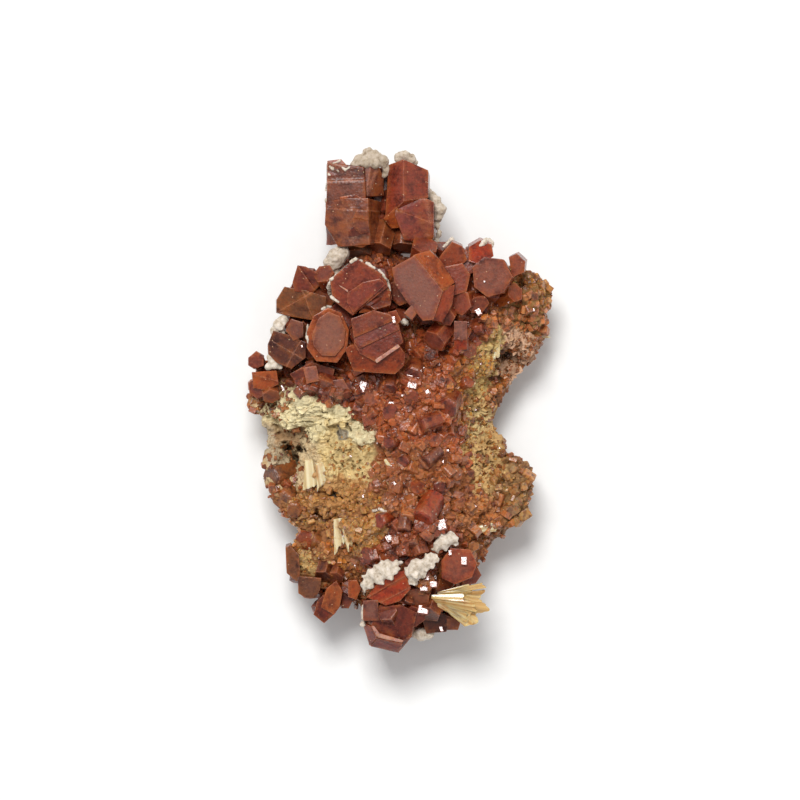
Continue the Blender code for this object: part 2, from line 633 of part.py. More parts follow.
# ---------------------------------------------------------------- crusts and blades
def make_crust(lump):
    draft = bmesh.new()
    bmesh.ops.create_icosphere(draft, subdivisions=2, radius=1)
    spacing, height = CRUST_NOISE
    place = Matrix.Translation(lump.at) @ Matrix.Rotation(math.radians(lump.turn), 4, "Z")
    for vertex in draft.verts:
        out = vertex.co.copy()
        vertex.co = place @ Vector([c * size for c, size in zip(out, lump.size)])
        vertex.co += out * height * noise.noise(vertex.co / spacing)
    return new_object("white_crust_" + lump.name, mesh_from("Crust", draft))


def blade_object(number):
    """One thin plate of the fan, from the root outwards."""
    share = number / (FAN_BLADES - 1)
    turn = FAN_TURNS[0] + (FAN_TURNS[1] - FAN_TURNS[0]) * share
    long = FAN_LONG[0] + (FAN_LONG[1] - FAN_LONG[0]) * share
    roll = FAN_ROLL if number % 2 else -FAN_ROLL
    draft = bmesh.new()
    bmesh.ops.create_cube(draft, size=1)
    bmesh.ops.scale(draft, vec=(long, FAN_WIDE, FAN_THICK), verts=draft.verts)
    bmesh.ops.translate(draft, vec=(long / 2 - FAN_ROOT_SIZE / 2, 0, 0), verts=draft.verts)
    far = [vertex for vertex in draft.verts if vertex.co.x > long / 2 and vertex.co.y > 0]
    bmesh.ops.translate(draft, vec=(-FAN_WIDE, 0, 0), verts=far)
    off = (0.5 - share) * FAN_SPREAD
    aside = Vector((off, off, FAN_STAGGER * (number % 3)))
    place = Matrix.Translation(Vector(FAN_ROOT) + aside) @ Matrix.Rotation(math.radians(turn), 4, "Z")
    place @= Matrix.Rotation(math.radians(-FAN_RISE), 4, "Y")
    place @= Matrix.Rotation(math.radians(roll), 4, "X")
    draft.transform(place)
    return new_object("Blade", mesh_from("Blade", draft))


def make_fan():
    draft = bmesh.new()
    bmesh.ops.create_icosphere(draft, subdivisions=1, radius=FAN_ROOT_SIZE)
    bmesh.ops.translate(draft, vec=FAN_ROOT, verts=draft.verts)
    obj = new_object("barite_blades", mesh_from("barite_blades", draft))
    combine(obj, "UNION", [blade_object(number) for number in range(FAN_BLADES)])
    return obj


# ---------------------------------------------------------------- the specimen
def main():
    for obj in list(bpy.data.objects):
        bpy.data.objects.remove(obj)
    rock_core = make_rock_core()
    paint(make_rock(rock_core), "Ochre rock", ROCK_FINISH)
    cores = [rock_core]
    crystals = list(ROCK_SPURS)
    for name, members in CLUSTERS.items():
        obj = cluster(name, members)
        make_room(obj, crystals, cores)
        paint(obj, "Vanadinite, " + name.replace("_", " "), CRYSTAL_FINISH)
        crystals += members
    druse_core = make_druse_core()
    buds = [bud_crystal(bud) for bud in BUDS + filling_buds()]
    druse = make_druse(druse_core, buds)
    make_room(druse, crystals, cores)
    paint(druse, "Vanadinite, drusy crust", DRUSE_FINISH)
    crystals += buds
    cores.append(druse_core)
    fan = make_fan()
    make_room(fan, crystals, cores)
    paint(fan, "Barite", BARITE_FINISH)
    for lump in CRUSTS:
        crust = make_crust(lump)
        make_room(crust, crystals, cores)
        paint(crust, "White crust, " + lump.name.replace("_", " "), CRUST_FINISH)
    for core in cores:
        bpy.data.objects.remove(core)
    specimen = new_object("specimen", None)
    for obj in list(bpy.data.objects):
        if obj.type == "MESH":
            settle(obj, specimen)


main()
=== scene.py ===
"""Looks of a vanadinite specimen on its matrix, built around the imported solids.

+Z is up, out of the crystal face, and +Y is the crown end, as in the solids. Tables are in millimetres and
degrees, and MM turns them into metres where a mesh is made.
"""

import math
import random
from collections import namedtuple

import bmesh
import bpy
import numpy as np
from mathutils import Matrix, Vector, noise
from mathutils.bvhtree import BVHTree


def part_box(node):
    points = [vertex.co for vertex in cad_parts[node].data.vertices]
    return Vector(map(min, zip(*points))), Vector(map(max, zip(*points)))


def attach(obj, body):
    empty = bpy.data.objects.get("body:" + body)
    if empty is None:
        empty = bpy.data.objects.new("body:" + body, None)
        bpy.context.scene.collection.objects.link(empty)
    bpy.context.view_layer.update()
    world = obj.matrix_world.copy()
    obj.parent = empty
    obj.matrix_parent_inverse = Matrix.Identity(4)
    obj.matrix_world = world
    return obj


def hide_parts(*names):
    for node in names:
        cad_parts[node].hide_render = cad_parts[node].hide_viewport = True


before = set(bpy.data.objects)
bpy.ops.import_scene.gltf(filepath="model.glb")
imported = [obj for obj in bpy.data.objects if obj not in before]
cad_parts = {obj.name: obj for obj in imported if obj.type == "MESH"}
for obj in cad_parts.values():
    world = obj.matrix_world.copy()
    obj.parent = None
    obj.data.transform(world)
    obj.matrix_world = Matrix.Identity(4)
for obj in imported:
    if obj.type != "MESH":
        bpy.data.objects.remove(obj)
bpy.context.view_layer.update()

MM = 0.001
UP = Vector((0, 0, 1))

# The key light stands above the crown end. A face that looks halfway between it and straight up shines.
KEY_FROM = Vector((-0.10, 0.35, 0.80))
SHINE_LEAN = math.degrees(KEY_FROM.angle(UP)) / 2
SHINE_TOWARDS = math.degrees(math.atan2(KEY_FROM.y, KEY_FROM.x))

# ---------------------------------------------------------------- colours
TINTS = {
    "rust": "#7e3420",
    "russet": "#843a28",
    "umber": "#7a3f28",
    "garnet": "#6b2819",
    "wine": "#7c2f27",
    "dark": "#4c2014",
    "mauve": "#6a382c",
    # Rose gives small frosted crystal ends a painted pale pinkish reflection.
    "rose": "#8c574b",
    "blush": "#c09088",
    "bright": "#983416",
    "glow": "#a04e1e",
    "orange": "#8c3d1a",
    "honey": "#704320",
    "tan": "#8c5828",
    "olive": "#66402a",
    "brown": "#7c442a",
    "coral": "#933f22",
    "amber": "#94491e",
    "plum": "#7d3b2e",
    # A pale pink painted on thin strips as highlight lines along crystal edges.
    "pink": "#e0b8ac",
    "ember": "#761c08",
}

# ---------------------------------------------------------------- large crystals
# A block is a convex crystal: its corners, the way from its outer end's corners to its inner end's, tint,
# frost, which dulls the face and pales it with a painted sheen, and steps. A step is a straight edge on the face: a
# point of it, the compass angle towards which the face rises, and the rise.
Block = namedtuple("Block", "corners back tint frost steps", defaults=(0.3, ()))

CROWN_BLOCKS = [
    Block([(-11.4, 27.6, 14.4), (-11.4, 37.4, 14.4), (3.6, 37.4, 14.4), (4.6, 25.6, 14.4), (-9.4, 25.2, 14.4)],
          (0, 0, -4), "garnet", 0.2),
    Block(
        [(-11.6, 38.2, 18.7), (-9.4, 37.6, 19.0), (-5.8, 37.4, 19.1), (-5.4, 31.2, 18.6), (-11.7, 30.8, 18.0),
         (-11.8, 38.0, 11.5), (-11.8, 31.4, 11.5), (-3.8, 37.2, 12.0), (-3.8, 31.6, 12.0)],
        (0, 0, 0), "umber", 0.3, ((-9, 35.4, 272, 0.2),),
    ),
    Block([(-11.6, 38.4, 18.4), (-9.4, 38.7, 18.5), (-8.6, 37.8, 18.7), (-9.0, 36.2, 18.9), (-11.6, 35.8, 18.7)],
          (0, 0, -5), "wine", 0.3),
    Block([(-9.6, 32.6, 19.4), (-7.2, 33.0, 19.6), (-6.0, 32.4, 19.6), (-6.2, 31.4, 19.4), (-9.4, 31.3, 19.2)],
          (0, 0, -2), "orange", 0.1),
    Block(
        [(-5.8, 37.5, 18.2), (-4.6, 38.2, 18.4), (-3.4, 37.5, 17.8), (-2.6, 35.9, 16.8), (-2.6, 32.9, 16.2),
         (-5.4, 32.7, 18.2), (-5.8, 37.4, 11.5), (-2.4, 35.4, 10.5), (-2.6, 32.7, 10.5), (-5.4, 32.7, 10.5)],
        (0, 0, 0), "mauve", 0.5,
    ),
    Block(
        [(-11.8, 31.9, 18.8), (-8.6, 32.4, 19.7), (-5.1, 32.4, 20.0), (-4.8, 25.0, 19.4), (-9.1, 24.7, 18.6),
         (-9.9, 24.7, 18.0), (-12.0, 28.2, 18.2), (-11.7, 31.8, 11.0), (-12.0, 28.4, 11.5), (-9.8, 24.7, 10.5),
         (-2.7, 31.9, 14.0), (-2.7, 25.2, 13.0), (-4.5, 24.7, 10.5)],
        (0, 0, 0), "umber", 0.3, ((-9, 30.9, 267, 0.25),),
    ),
    Block(
        [(-7.6, 29.0, 20.1), (-7.0, 30.4, 20.5), (-5.2, 30.4, 20.7), (-4.9, 27.0, 20.2), (-6.2, 26.6, 20.0),
         (-7.2, 27.4, 20.0)],
        (0, 0, -2), "umber", 0.2, ((-6.2, 29.0, 80, 0.2),),
    ),
    Block(
        [(-8.4, 27.0, 19.5), (-7.2, 28.2, 19.9), (-4.8, 27.4, 20.1), (-4.6, 25.3, 19.6), (-6.0, 24.5, 18.8),
         (-8.0, 24.9, 18.9)],
        (0, 0, -3), "russet", 0.2,
    ),
    Block(
        [(-1.8, 37.8, 17.4), (0.5, 38.6, 19.6), (4.5, 36.9, 17.9), (4.5, 32.6, 17.9), (0.6, 31.9, 19.9),
         (-2.4, 28.9, 17.4), (-2.2, 37.4, 11.0), (4.8, 36.4, 11.0), (4.8, 32.6, 11.0), (-2.6, 28.7, 11.0),
         (0.6, 29.8, 11.0)],
        (0, 0, 0), "russet", 0.3,
    ),
    Block(
        [(-0.5, 32.4, 18.8), (4.2, 32.4, 18.4), (5.4, 31.8, 17.8), (5.4, 26.2, 17.2), (4.5, 25.0, 16.6),
         (0.6, 25.8, 18.0), (-0.8, 29.7, 18.8), (5.8, 31.6, 11.0), (5.8, 26.0, 10.0), (0.6, 24.7, 10.0),
         (-1.0, 29.4, 11.0)],
        (0, 0, 0), "wine", 0.4, ((3, 29.5, 250, 0.25),),
    ),
    Block(
        [(-2.7, 29.2, 18.0), (-0.6, 31.0, 19.3), (0.4, 29.9, 18.9), (1.2, 28.7, 18.3), (0.8, 27.8, 17.8),
         (-1.4, 27.6, 17.4)],
        (0, 0, -5), "glow", 0.0,
    ),
]
SHOULDER_BLOCKS = [
    Block(
        [(-11.1, 19.3, 24.6), (-7.1, 22.8, 25.2), (-2.4, 20.0, 25.0), (-1.9, 18.2, 24.6), (-4.2, 16.4, 24.2),
         (-7.5, 13.7, 23.8), (-10.7, 16.1, 24.0)],
        (0.3, -0.6, -8), "rust", 0.05,
    ),
    Block(
        [(-8.3, 17.3, 24.85), (-5.9, 18.9, 25.0), (-3.2, 19.5, 25.15), (-2.2, 18.6, 24.95), (-4.4, 16.6, 24.6),
         (-7.4, 14.0, 24.2), (-8.4, 15.6, 24.5)],
        (0, 0, -1.2), "wine", 0.25,
    ),
    # A thin strip of painted highlight along an edge of the face.
    Block([(-9.8, 18.6, 24.8), (-9.5, 18.2, 24.75), (-8.2, 17.3, 24.7), (-8.3, 17.7, 24.75)], (0, 0, -0.6), "pink", 0.0),
    Block(
        [(-2.6, 19.0, 23.8), (-1.4, 17.6, 23.5), (-1.7, 15.4, 23.0), (-4.8, 14.2, 23.0), (-6.6, 14.0, 23.0),
         (-5.0, 17.0, 23.6)],
        (0, 0, -6), "orange", 0.1,
    ),
    Block(
        [(-14.0, 10.6, 24.3), (-13.0, 13.1, 24.4), (-11.3, 14.3, 24.4), (-9.5, 13.5, 24.2), (-8.6, 11.3, 23.9),
         (-8.9, 8.9, 23.6), (-10.3, 7.2, 23.6), (-12.5, 7.3, 23.8), (-13.7, 8.8, 24.1)],
        (0, 0, -4), "plum", 0.9,
    ),
    Block(
        [(-14.8, 11.1, 23.8), (-13.7, 13.6, 23.9), (-11.4, 14.9, 23.9), (-9.3, 14.1, 23.7), (-8.1, 11.4, 23.4),
         (-8.4, 8.3, 23.0), (-10.0, 6.2, 22.9), (-13.3, 6.4, 23.2), (-14.8, 8.5, 23.6)],
        (0, 0, -7), "amber", 0.0,
    ),
    Block([(-7.8, 13.1, 25.7), (-4.2, 14.5, 26.0), (-1.5, 13.8, 25.8), (-0.8, 12.9, 25.6), (-7.3, 10.1, 25.4)],
          (0, 0, -6), "rust", 0.3),
    Block([(-7.7, 12.6, 25.15), (-1.0, 13.6, 25.35), (-0.1, 11.4, 25.2), (-6.4, 8.4, 24.9), (-7.3, 9.6, 25.0)],
          (0, 0, -6), "wine", 0.3),
    Block(
        [(-7.5, 12.0, 24.7), (-0.3, 12.6, 24.9), (0.5, 9.4, 24.75), (-3.9, 6.3, 24.35), (-6.4, 7.6, 24.4),
         (-7.3, 9.2, 24.5)],
        (0, 0, -6), "rust", 0.1,
    ),
    # A thin strip of painted highlight along an edge of the face.
    Block([(-4.0, 6.6, 24.55), (-3.7, 6.1, 24.5), (0.0, 8.7, 24.85), (-0.3, 9.1, 24.9)], (0, 0, -0.6), "pink", 0.0),
    Block(
        [(-8.75, 8.3, 23.7), (-7.8, 9.0, 24.0), (-3.9, 6.4, 24.0), (-0.2, 9.1, 24.2), (0.85, 7.4, 23.8),
         (0.6, 5.7, 23.2), (-0.8, 4.35, 22.8), (-3.55, 4.6, 22.8), (-7.4, 4.8, 22.7)],
        (0, 0.6, -5), "orange", 0.0,
    ),
    Block(
        [(-1.3, 21.2, 25.2), (2.3, 23.2, 25.7), (6.8, 17.5, 25.7), (5.3, 13.0, 25.0), (3.6, 12.8, 24.9),
         (1.2, 15.7, 24.9), (-0.8, 18.6, 25.0)],
        (0.8, 0, -6), "plum", 0.9,
    ),
    Block(
        [(2.0, 23.2, 25.3), (4.7, 24.0, 24.4), (6.3, 22.6, 24.2), (8.7, 18.9, 24.1), (6.9, 17.3, 25.3),
         (2.4, 22.0, 18.0), (4.9, 24.4, 18.0), (9.2, 18.9, 18.0), (6.9, 16.9, 18.0)],
        (0, 0, 0), "amber", 0.0,
    ),
    Block(
        [(6.6, 17.9, 25.3), (8.7, 18.6, 24.3), (8.3, 15.4, 23.8), (6.7, 12.6, 23.6), (5.0, 12.9, 24.6),
         (6.4, 18.0, 18.0), (9.0, 18.6, 18.0), (7.2, 12.4, 18.0), (5.0, 12.9, 18.0)],
        (0, 0, 0), "coral", 0.0,
    ),
    Block(
        [(8.3, 25.0, 21.6), (9.6, 24.9, 21.4), (12.0, 23.0, 21.4), (11.9, 20.6, 21.6), (9.6, 19.6, 21.8), (8.0, 21.0, 21.8)],
        (0, 0, -5), "rust", 0.2,
    ),
    Block([(8.6, 12.8, 21.9), (10.7, 12.8, 21.9), (10.7, 9.9, 21.4), (8.6, 9.8, 21.4)], (0, 0, -5), "rose", 0.9),
    Block(
        [(8.6, 10.0, 21.2), (10.7, 10.1, 21.2), (10.7, 8.3, 19.6), (8.6, 8.2, 19.6), (8.8, 10.4, 16.0), (10.5, 8.3, 16.0)],
        (0, 0, 0), "bright", 0.0,
    ),
    Block(
        [(5.9, 22.3, 22.6), (6.6, 23.4, 23.0), (8.3, 25.4, 23.4), (9.9, 24.7, 23.0), (10.7, 22.5, 22.4),
         (8.8, 20.7, 22.0), (6.4, 21.0, 22.2)],
        (0, 0.5, -6), "rust", 0.1,
    ),
    Block(
        [(10.9, 22.3, 22.4), (10.9, 24.6, 21.6), (12.8, 25.7, 20.6), (14.6, 25.0, 20.8), (14.9, 23.1, 22.0),
         (12.8, 21.7, 22.8)],
        (0, 0.6, -7), "bright", 0.0,
    ),
    Block(
        [(11.5, 21.4, 22.6), (13.4, 23.0, 22.8), (16.5, 22.6, 22.6), (17.9, 19.9, 22.2), (16.5, 17.4, 22.0),
         (13.9, 16.6, 22.0), (11.8, 18.2, 22.2)],
        (0.5, -0.3, -7), "russet", 0.55,
    ),
    Block(
        [(6.9, 21.4, 22.8), (9.9, 22.0, 23.0), (11.2, 20.2, 22.8), (10.6, 17.5, 22.4), (8.0, 16.7, 22.6),
         (6.6, 18.8, 22.8)],
        (0.2, -0.4, -7), "rust", 0.3,
    ),
    Block([(17.3, 23.0, 20.0), (18.6, 23.6, 20.2), (20.0, 22.3, 19.8), (19.8, 20.6, 19.4), (17.9, 19.8, 19.4)],
          (0.4, 0.4, -6), "russet", 0.5),
    Block([(0.6, 14.0, 25.0), (1.8, 15.3, 25.0), (2.9, 14.3, 24.8), (1.9, 12.9, 24.6)], (0.2, -0.4, -3), "rose", 0.8),
    Block([(-1.9, 14.2, 25.2), (-0.6, 14.5, 25.6), (0.2, 13.0, 25.4), (-1.0, 11.4, 24.8), (-2.1, 12.2, 24.8)],
          (0, -0.4, -4), "rust", 0.3),
]
LEFT_SHOULDER_BLOCKS = [
    Block(
        [(-17.1, 19.0, 20.6), (-16.3, 21.7, 20.8), (-15.0, 21.5, 21.4), (-13.0, 20.4, 20.6), (-12.8, 18.5, 20.2),
         (-13.9, 17.2, 20.0), (-16.8, 17.5, 20.2)],
        (0, 0, -7), "garnet", 0.1, ((-14.6, 19.6, 215, 0.3),),
    ),
    Block(
        [(-19.7, 16.2, 19.0), (-18.4, 18.3, 19.8), (-15.0, 17.7, 20.6), (-13.8, 16.7, 21.0), (-11.7, 16.7, 20.6),
         (-11.8, 14.3, 20.4), (-13.8, 12.9, 19.8), (-17.3, 13.5, 19.4), (-19.7, 14.2, 18.6)],
        (-0.2, 0, -7), "honey", 0.1, ((-17.6, 15.6, 300, 0.3), (-14.8, 15.0, 20, 0.4)),
    ),
    Block([(-18.2, 11.4, 20.2), (-17.3, 13.2, 20.8), (-15.4, 12.6, 21.0), (-15.4, 10.3, 20.6), (-17.0, 9.7, 20.4)],
          (-0.3, -0.5, -4), "mauve", 0.6),
    Block(
        [(-21.1, 9.2, 18.2), (-20.2, 11.3, 18.8), (-17.6, 10.6, 19.8), (-15.0, 9.4, 20.2), (-15.0, 7.0, 19.8),
         (-17.3, 5.2, 18.8), (-19.7, 6.2, 18.2), (-21.0, 7.6, 18.0)],
        (-0.2, -0.4, -7), "dark", 0.1, ((-18, 8, 60, 0.3), (-17, 8, 330, 0.25)),
    ),
    Block([(-17.6, 4.4, 19.2), (-14.1, 6.3, 19.8), (-10.4, 5.2, 19.8), (-11.0, 2.3, 19.2), (-15.8, 2.0, 18.8)],
          (0, -0.3, -4), "garnet", 0.2),
    Block([(-15.4, 5.4, 20.4), (-13.3, 5.7, 20.6), (-12.8, 3.3, 20.2), (-14.9, 2.8, 20.0)], (0, -0.2, -2.5), "rose", 1.0),
    Block([(-11.2, 3.3, 20.2), (-9.0, 3.6, 20.4), (-8.0, 1.8, 20.2), (-10.2, 0.9, 19.8)], (0, -0.3, -3), "rose", 0.7),
]
LEFT_EDGE_BLOCKS = [
    Block([(-24.3, 7.0, 15.0), (-23.0, 8.1, 15.2), (-21.8, 7.4, 15.4), (-21.8, 5.7, 15.2), (-23.4, 5.2, 14.8),
           (-24.3, 5.8, 14.8)], (0, 0, -5), "russet", 0.2),
    Block([(-23.7, 4.7, 16.0), (-19.7, 5.0, 16.6), (-19.4, 2.8, 16.2), (-21.4, 1.8, 15.6), (-23.5, 2.2, 15.4)],
          (0, -0.4, -4), "glow", 0.1, ((-21.6, 3.6, 75, 0.2),)),
]
FOOT_BLOCKS = [
    Block(
        [(-5.4, -31.3, 17.6), (-3.8, -29.2, 18.6), (-0.6, -27.1, 19.6), (0.8, -27.0, 20.0), (1.8, -29.8, 19.6),
         (0.0, -31.8, 18.4), (-2.2, -32.6, 17.8), (-3.8, -31.9, 17.4)],
        (0, -0.3, -6), "bright", 0.0, ((-2.2, -29.8, 120, 0.25), (-0.6, -31.0, 118, 0.2)),
    ),
    Block([(-5.9, -31.8, 17.6), (-3.5, -31.6, 17.8), (-3.4, -35.0, 17.4), (-5.9, -35.0, 17.2)],
          (0.2, -0.2, -5), "mauve", 0.9),
    Block(
        [(-4.5, -35.6, 16.6), (-3.2, -32.9, 17.8), (0.0, -32.4, 18.0), (2.7, -33.7, 17.4), (1.8, -37.7, 15.8),
         (0.3, -38.3, 15.4), (-3.5, -37.2, 15.8), (-5.9, -35.3, 14.4), (-4.8, -39.1, 13.6), (-0.2, -40.2, 13.0),
         (1.0, -38.8, 13.4), (2.7, -35.8, 12.0), (0.0, -32.4, 9.5), (-4.8, -33.4, 9.5), (-4.3, -38.2, 9.4),
         (-0.5, -39.0, 9.2)],
        (0, 0, 0), "garnet", 0.1,
    ),
    # Two thin strips of painted highlight along the foot crystal's ridge.
    Block([(-4.6, -35.9, 16.9), (-4.2, -35.8, 16.9), (-3.2, -37.2, 16.2), (-3.7, -37.7, 16.0)], (0, 0, -0.6), "pink", 0.0),
    Block([(-3.7, -37.7, 16.1), (-3.2, -37.1, 16.2), (0.6, -38.2, 15.9), (0.3, -38.6, 15.7)], (0, 0, -0.6), "pink", 0.0),
    Block([(-3.7, -37.8, 16.1), (0.4, -38.7, 15.8), (-0.2, -40.3, 13.4), (-4.7, -39.2, 13.9)], (0, 0.3, -2), "ember", 0.0),
    Block([(-6.0, -35.4, 14.8), (-4.7, -35.9, 17.0), (-3.7, -37.8, 16.1), (-4.9, -39.1, 13.9)], (0.3, 0.3, -2), "ember", 0.0),
    Block([(3.5, -34.6, 14.5), (6.4, -33.7, 14.8), (8.3, -34.6, 14.4), (7.4, -36.9, 13.6), (4.2, -37.2, 13.6)],
          (0, 0, -5), "dark", 0.1),
    Block([(7.5, -34.8, 14.6), (9.9, -34.5, 14.4), (9.3, -36.6, 13.6), (7.5, -36.6, 13.6)], (0, 0, -4), "mauve", 0.6),
]
LOWER_LEFT_BLOCKS = [
    Block([(-18.4, -23.4, 11.4), (-17.6, -23.1, 11.8), (-16.2, -24.7, 12.2), (-16.0, -28.6, 11.8), (-16.6, -28.9, 11.2),
           (-18.2, -27.6, 10.6)], (0, 0.4, -5), "olive", 0.2),
    Block(
        [(-16.4, -28.0, 13.0), (-16.3, -30.8, 12.4), (-15.0, -31.5, 12.4), (-13.6, -31.6, 12.2), (-12.8, -30.2, 12.8),
         (-12.6, -28.3, 13.4)],
        (0, 0.5, -6), "olive", 0.3,
    ),
    Block(
        [(-11.8, -30.0, 14.0), (-10.2, -28.7, 14.2), (-9.2, -30.4, 13.8), (-9.7, -33.0, 13.3), (-10.6, -34.2, 12.9),
         (-12.7, -33.0, 13.2)],
        (0.4, 0.6, -5), "amber", 0.1,
    ),
    Block([(-13.3, -32.1, 13.1), (-12.3, -31.0, 13.5), (-10.3, -33.9, 12.6), (-12.2, -35.6, 11.8), (-13.9, -34.2, 12.0)],
          (0.4, 0.8, -5), "garnet", 0.1),
    Block([(-9.3, -28.9, 12.6), (-7.7, -30.2, 12.8), (-7.7, -32.2, 12.2), (-8.2, -33.2, 11.8), (-9.4, -33.2, 11.8)],
          (0, 0.4, -5), "garnet", 0.3),
    Block([(-8.3, -28.6, 14.6), (-6.9, -28.6, 14.8), (-6.2, -30.0, 14.6), (-7.0, -31.8, 14.0), (-8.3, -31.3, 14.0)],
          (0, 0.3, -5), "glow", 0.1),
]
LOWER_RIGHT_BLOCKS = [
    Block(
        [(6.6, -25.4, 18.0), (8.0, -23.4, 18.2), (11.2, -23.6, 18.4), (12.3, -25.8, 18.2), (11.5, -28.1, 17.6),
         (8.8, -29.2, 17.2), (6.6, -28.2, 17.4)],
        (0, -0.2, -7), "coral", 0.5,
    ),
]

# A crystal is an even hexagonal prism. tip is the middle of its outer end, across is measured from corner to
# corner and long along the axis, which leans from upright, towards a compass angle from +X. spin turns the
# corners about the axis, and flat squashes the hexagon in the direction of the lean.
Crystal = namedtuple(
    "Crystal", "tip across long lean towards spin flat tint frost", defaults=(0, 1.0, "rust", 0.3)
)
CROWN_CRYSTALS = [
    Crystal((-3.4, 24.4, 16.4), 4.4, 4.5, 62, 255, 0, 0.9, "brown"),
    Crystal((0.8, 24.6, 15.1), 5.1, 4.2, 72, 265, 20, 0.9, "brown"),
    Crystal((-6.6, 23.4, 15.1), 4.5, 4.2, 70, 260, 0, 1.0, "olive"),
    Crystal((3.6, 25.0, 14.6), 4.0, 4.0, 60, 300, 0, 1.0, "garnet"),
]
SHOULDER_CRYSTALS = [
    Crystal((-3.6, 16.9, 22.8), 5.4, 6.2, 30, 80, 0, 1.0, "garnet"),
    Crystal((0.2, 17.4, 22.4), 4.5, 6.2, 20, 200, 0, 1.0, "garnet"),
    Crystal((4.0, 25.0, 18.9), 4.6, 5.4, 50, 78, 0, 1.0, "rust"),
    Crystal((9.4, 15.9, 21.8), 4.6, 8.2, 24, 200, 20, 0.9, "russet", 0.5),
    Crystal((12.5, 15.4, 20.9), 3.8, 6.2, 25, 300, 0, 0.8, "rust"),
    Crystal((18.4, 17.4, 18.1), 3.2, 5.3, 40, 20, 0, 1.0, "glow"),
    Crystal((6.9, 13.6, 22.0), 4.0, 6.2, 30, 240, 0, 0.9, "rust", 0.5),
    Crystal((-9.4, 13.4, 21.6), 5.2, 6.0, 20, 40, 0, 1.0, "garnet"),
    Crystal((-12.2, 20.4, 21.0), 3.6, 6.0, 40, 120, 0, 1.0, "garnet"),
    Crystal((5.4, 9.6, 21.4), 4.2, 6.0, 50, 230, 10, 0.9, "rust"),
]
LEFT_SHOULDER_CRYSTALS = [
    Crystal((-15.8, 10.4, 18.6), 5.1, 5.7, 30, 200, 0, 1.0, "dark"),
    Crystal((-11.4, 12.4, 19.2), 6.0, 6.0, 20, 60, 0, 1.0, "garnet"),
    Crystal((-14.0, 8.0, 19.4), 4.0, 5.0, 40, 240, 0, 1.0, "garnet"),
    Crystal((-12.0, 17.0, 19.4), 4.4, 5.0, 40, 60, 0, 1.0, "brown"),
]
LEFT_EDGE_CRYSTALS = [
    Crystal((-23.0, 2.0, 14.4), 3.5, 4.0, 40, 210, 0, 1.0, "rust"),
    Crystal((-20.6, 0.8, 15.4), 3.0, 4.0, 40, 280, 0, 1.0, "brown"),
]
FOOT_CRYSTALS = [
    Crystal((2.6, -31.6, 17.6), 4.6, 6.0, 40, 250, 10, 1.0, "brown"),
    Crystal((4.4, -34.0, 16.4), 4.4, 6.2, 60, 250, 0, 1.0, "brown"),
    Crystal((2.2, -34.4, 16.6), 4.0, 6.0, 30, 280, 0, 1.0, "garnet"),
    Crystal((-2.2, -33.4, 17.6), 3.6, 5.0, 30, 120, 0, 1.0, "garnet"),
    Crystal((6.0, -32.4, 16.0), 3.6, 5.0, 30, 300, 0, 1.0, "brown"),
]
LOWER_LEFT_CRYSTALS = [
    Crystal((-12.2, -28.1, 12.6), 3.4, 4.8, 60, 255, 0, 1.0, "dark"),
    Crystal((-10.4, -28.3, 12.9), 3.0, 4.8, 50, 255, 0, 1.0, "mauve", 0.5),
]
LOWER_RIGHT_CRYSTALS = [
    Crystal((11.4, -28.0, 15.0), 3.6, 4.0, 40, 300, 0, 1.0, "rust"),
    Crystal((7.0, -29.0, 15.4), 3.4, 4.0, 40, 230, 0, 1.0, "brown"),
]
# piece: (solid that it stands for, a slot name, blocks, crystals)
CLUSTERS = {
    "shoulder": ("shoulder_crystals", "shoulder_vanadinite", SHOULDER_BLOCKS, SHOULDER_CRYSTALS),
    "crown": ("crown_crystals", "crown_vanadinite", CROWN_BLOCKS, CROWN_CRYSTALS),
    "left_shoulder": (
        "left_shoulder_crystals", "left_shoulder_vanadinite", LEFT_SHOULDER_BLOCKS, LEFT_SHOULDER_CRYSTALS,
    ),
    "left_edge": ("left_edge_crystals", "left_edge_vanadinite", LEFT_EDGE_BLOCKS, LEFT_EDGE_CRYSTALS),
    "foot": ("foot_crystals", "foot_vanadinite", FOOT_BLOCKS, FOOT_CRYSTALS),
    "lower_left": ("lower_left_crystals", "lower_left_vanadinite", LOWER_LEFT_BLOCKS, LOWER_LEFT_CRYSTALS),
    "lower_right": ("lower_right_crystals", "lower_right_vanadinite", LOWER_RIGHT_BLOCKS, LOWER_RIGHT_CRYSTALS),
}
SAME_FACE = 0.98  # cosine between two normals from which they count as one face
BEVEL = 0.11  # width of a large crystal's blunted edges
SHARP = 14  # degrees between two faces from which their edge is blunted
STEP_SLOPE = 0.22
STEP_DEPTH = 2.2  # how far below its top a crystal moves with a growth step
FILLER_INSET = 1.1  # how far a cluster's filler stays inside its solid on each side
FILLER_DROP = 2.5
FILLER_FACET = 1.1
FACET = 0.6  # longest side of a triangle on a large crystal

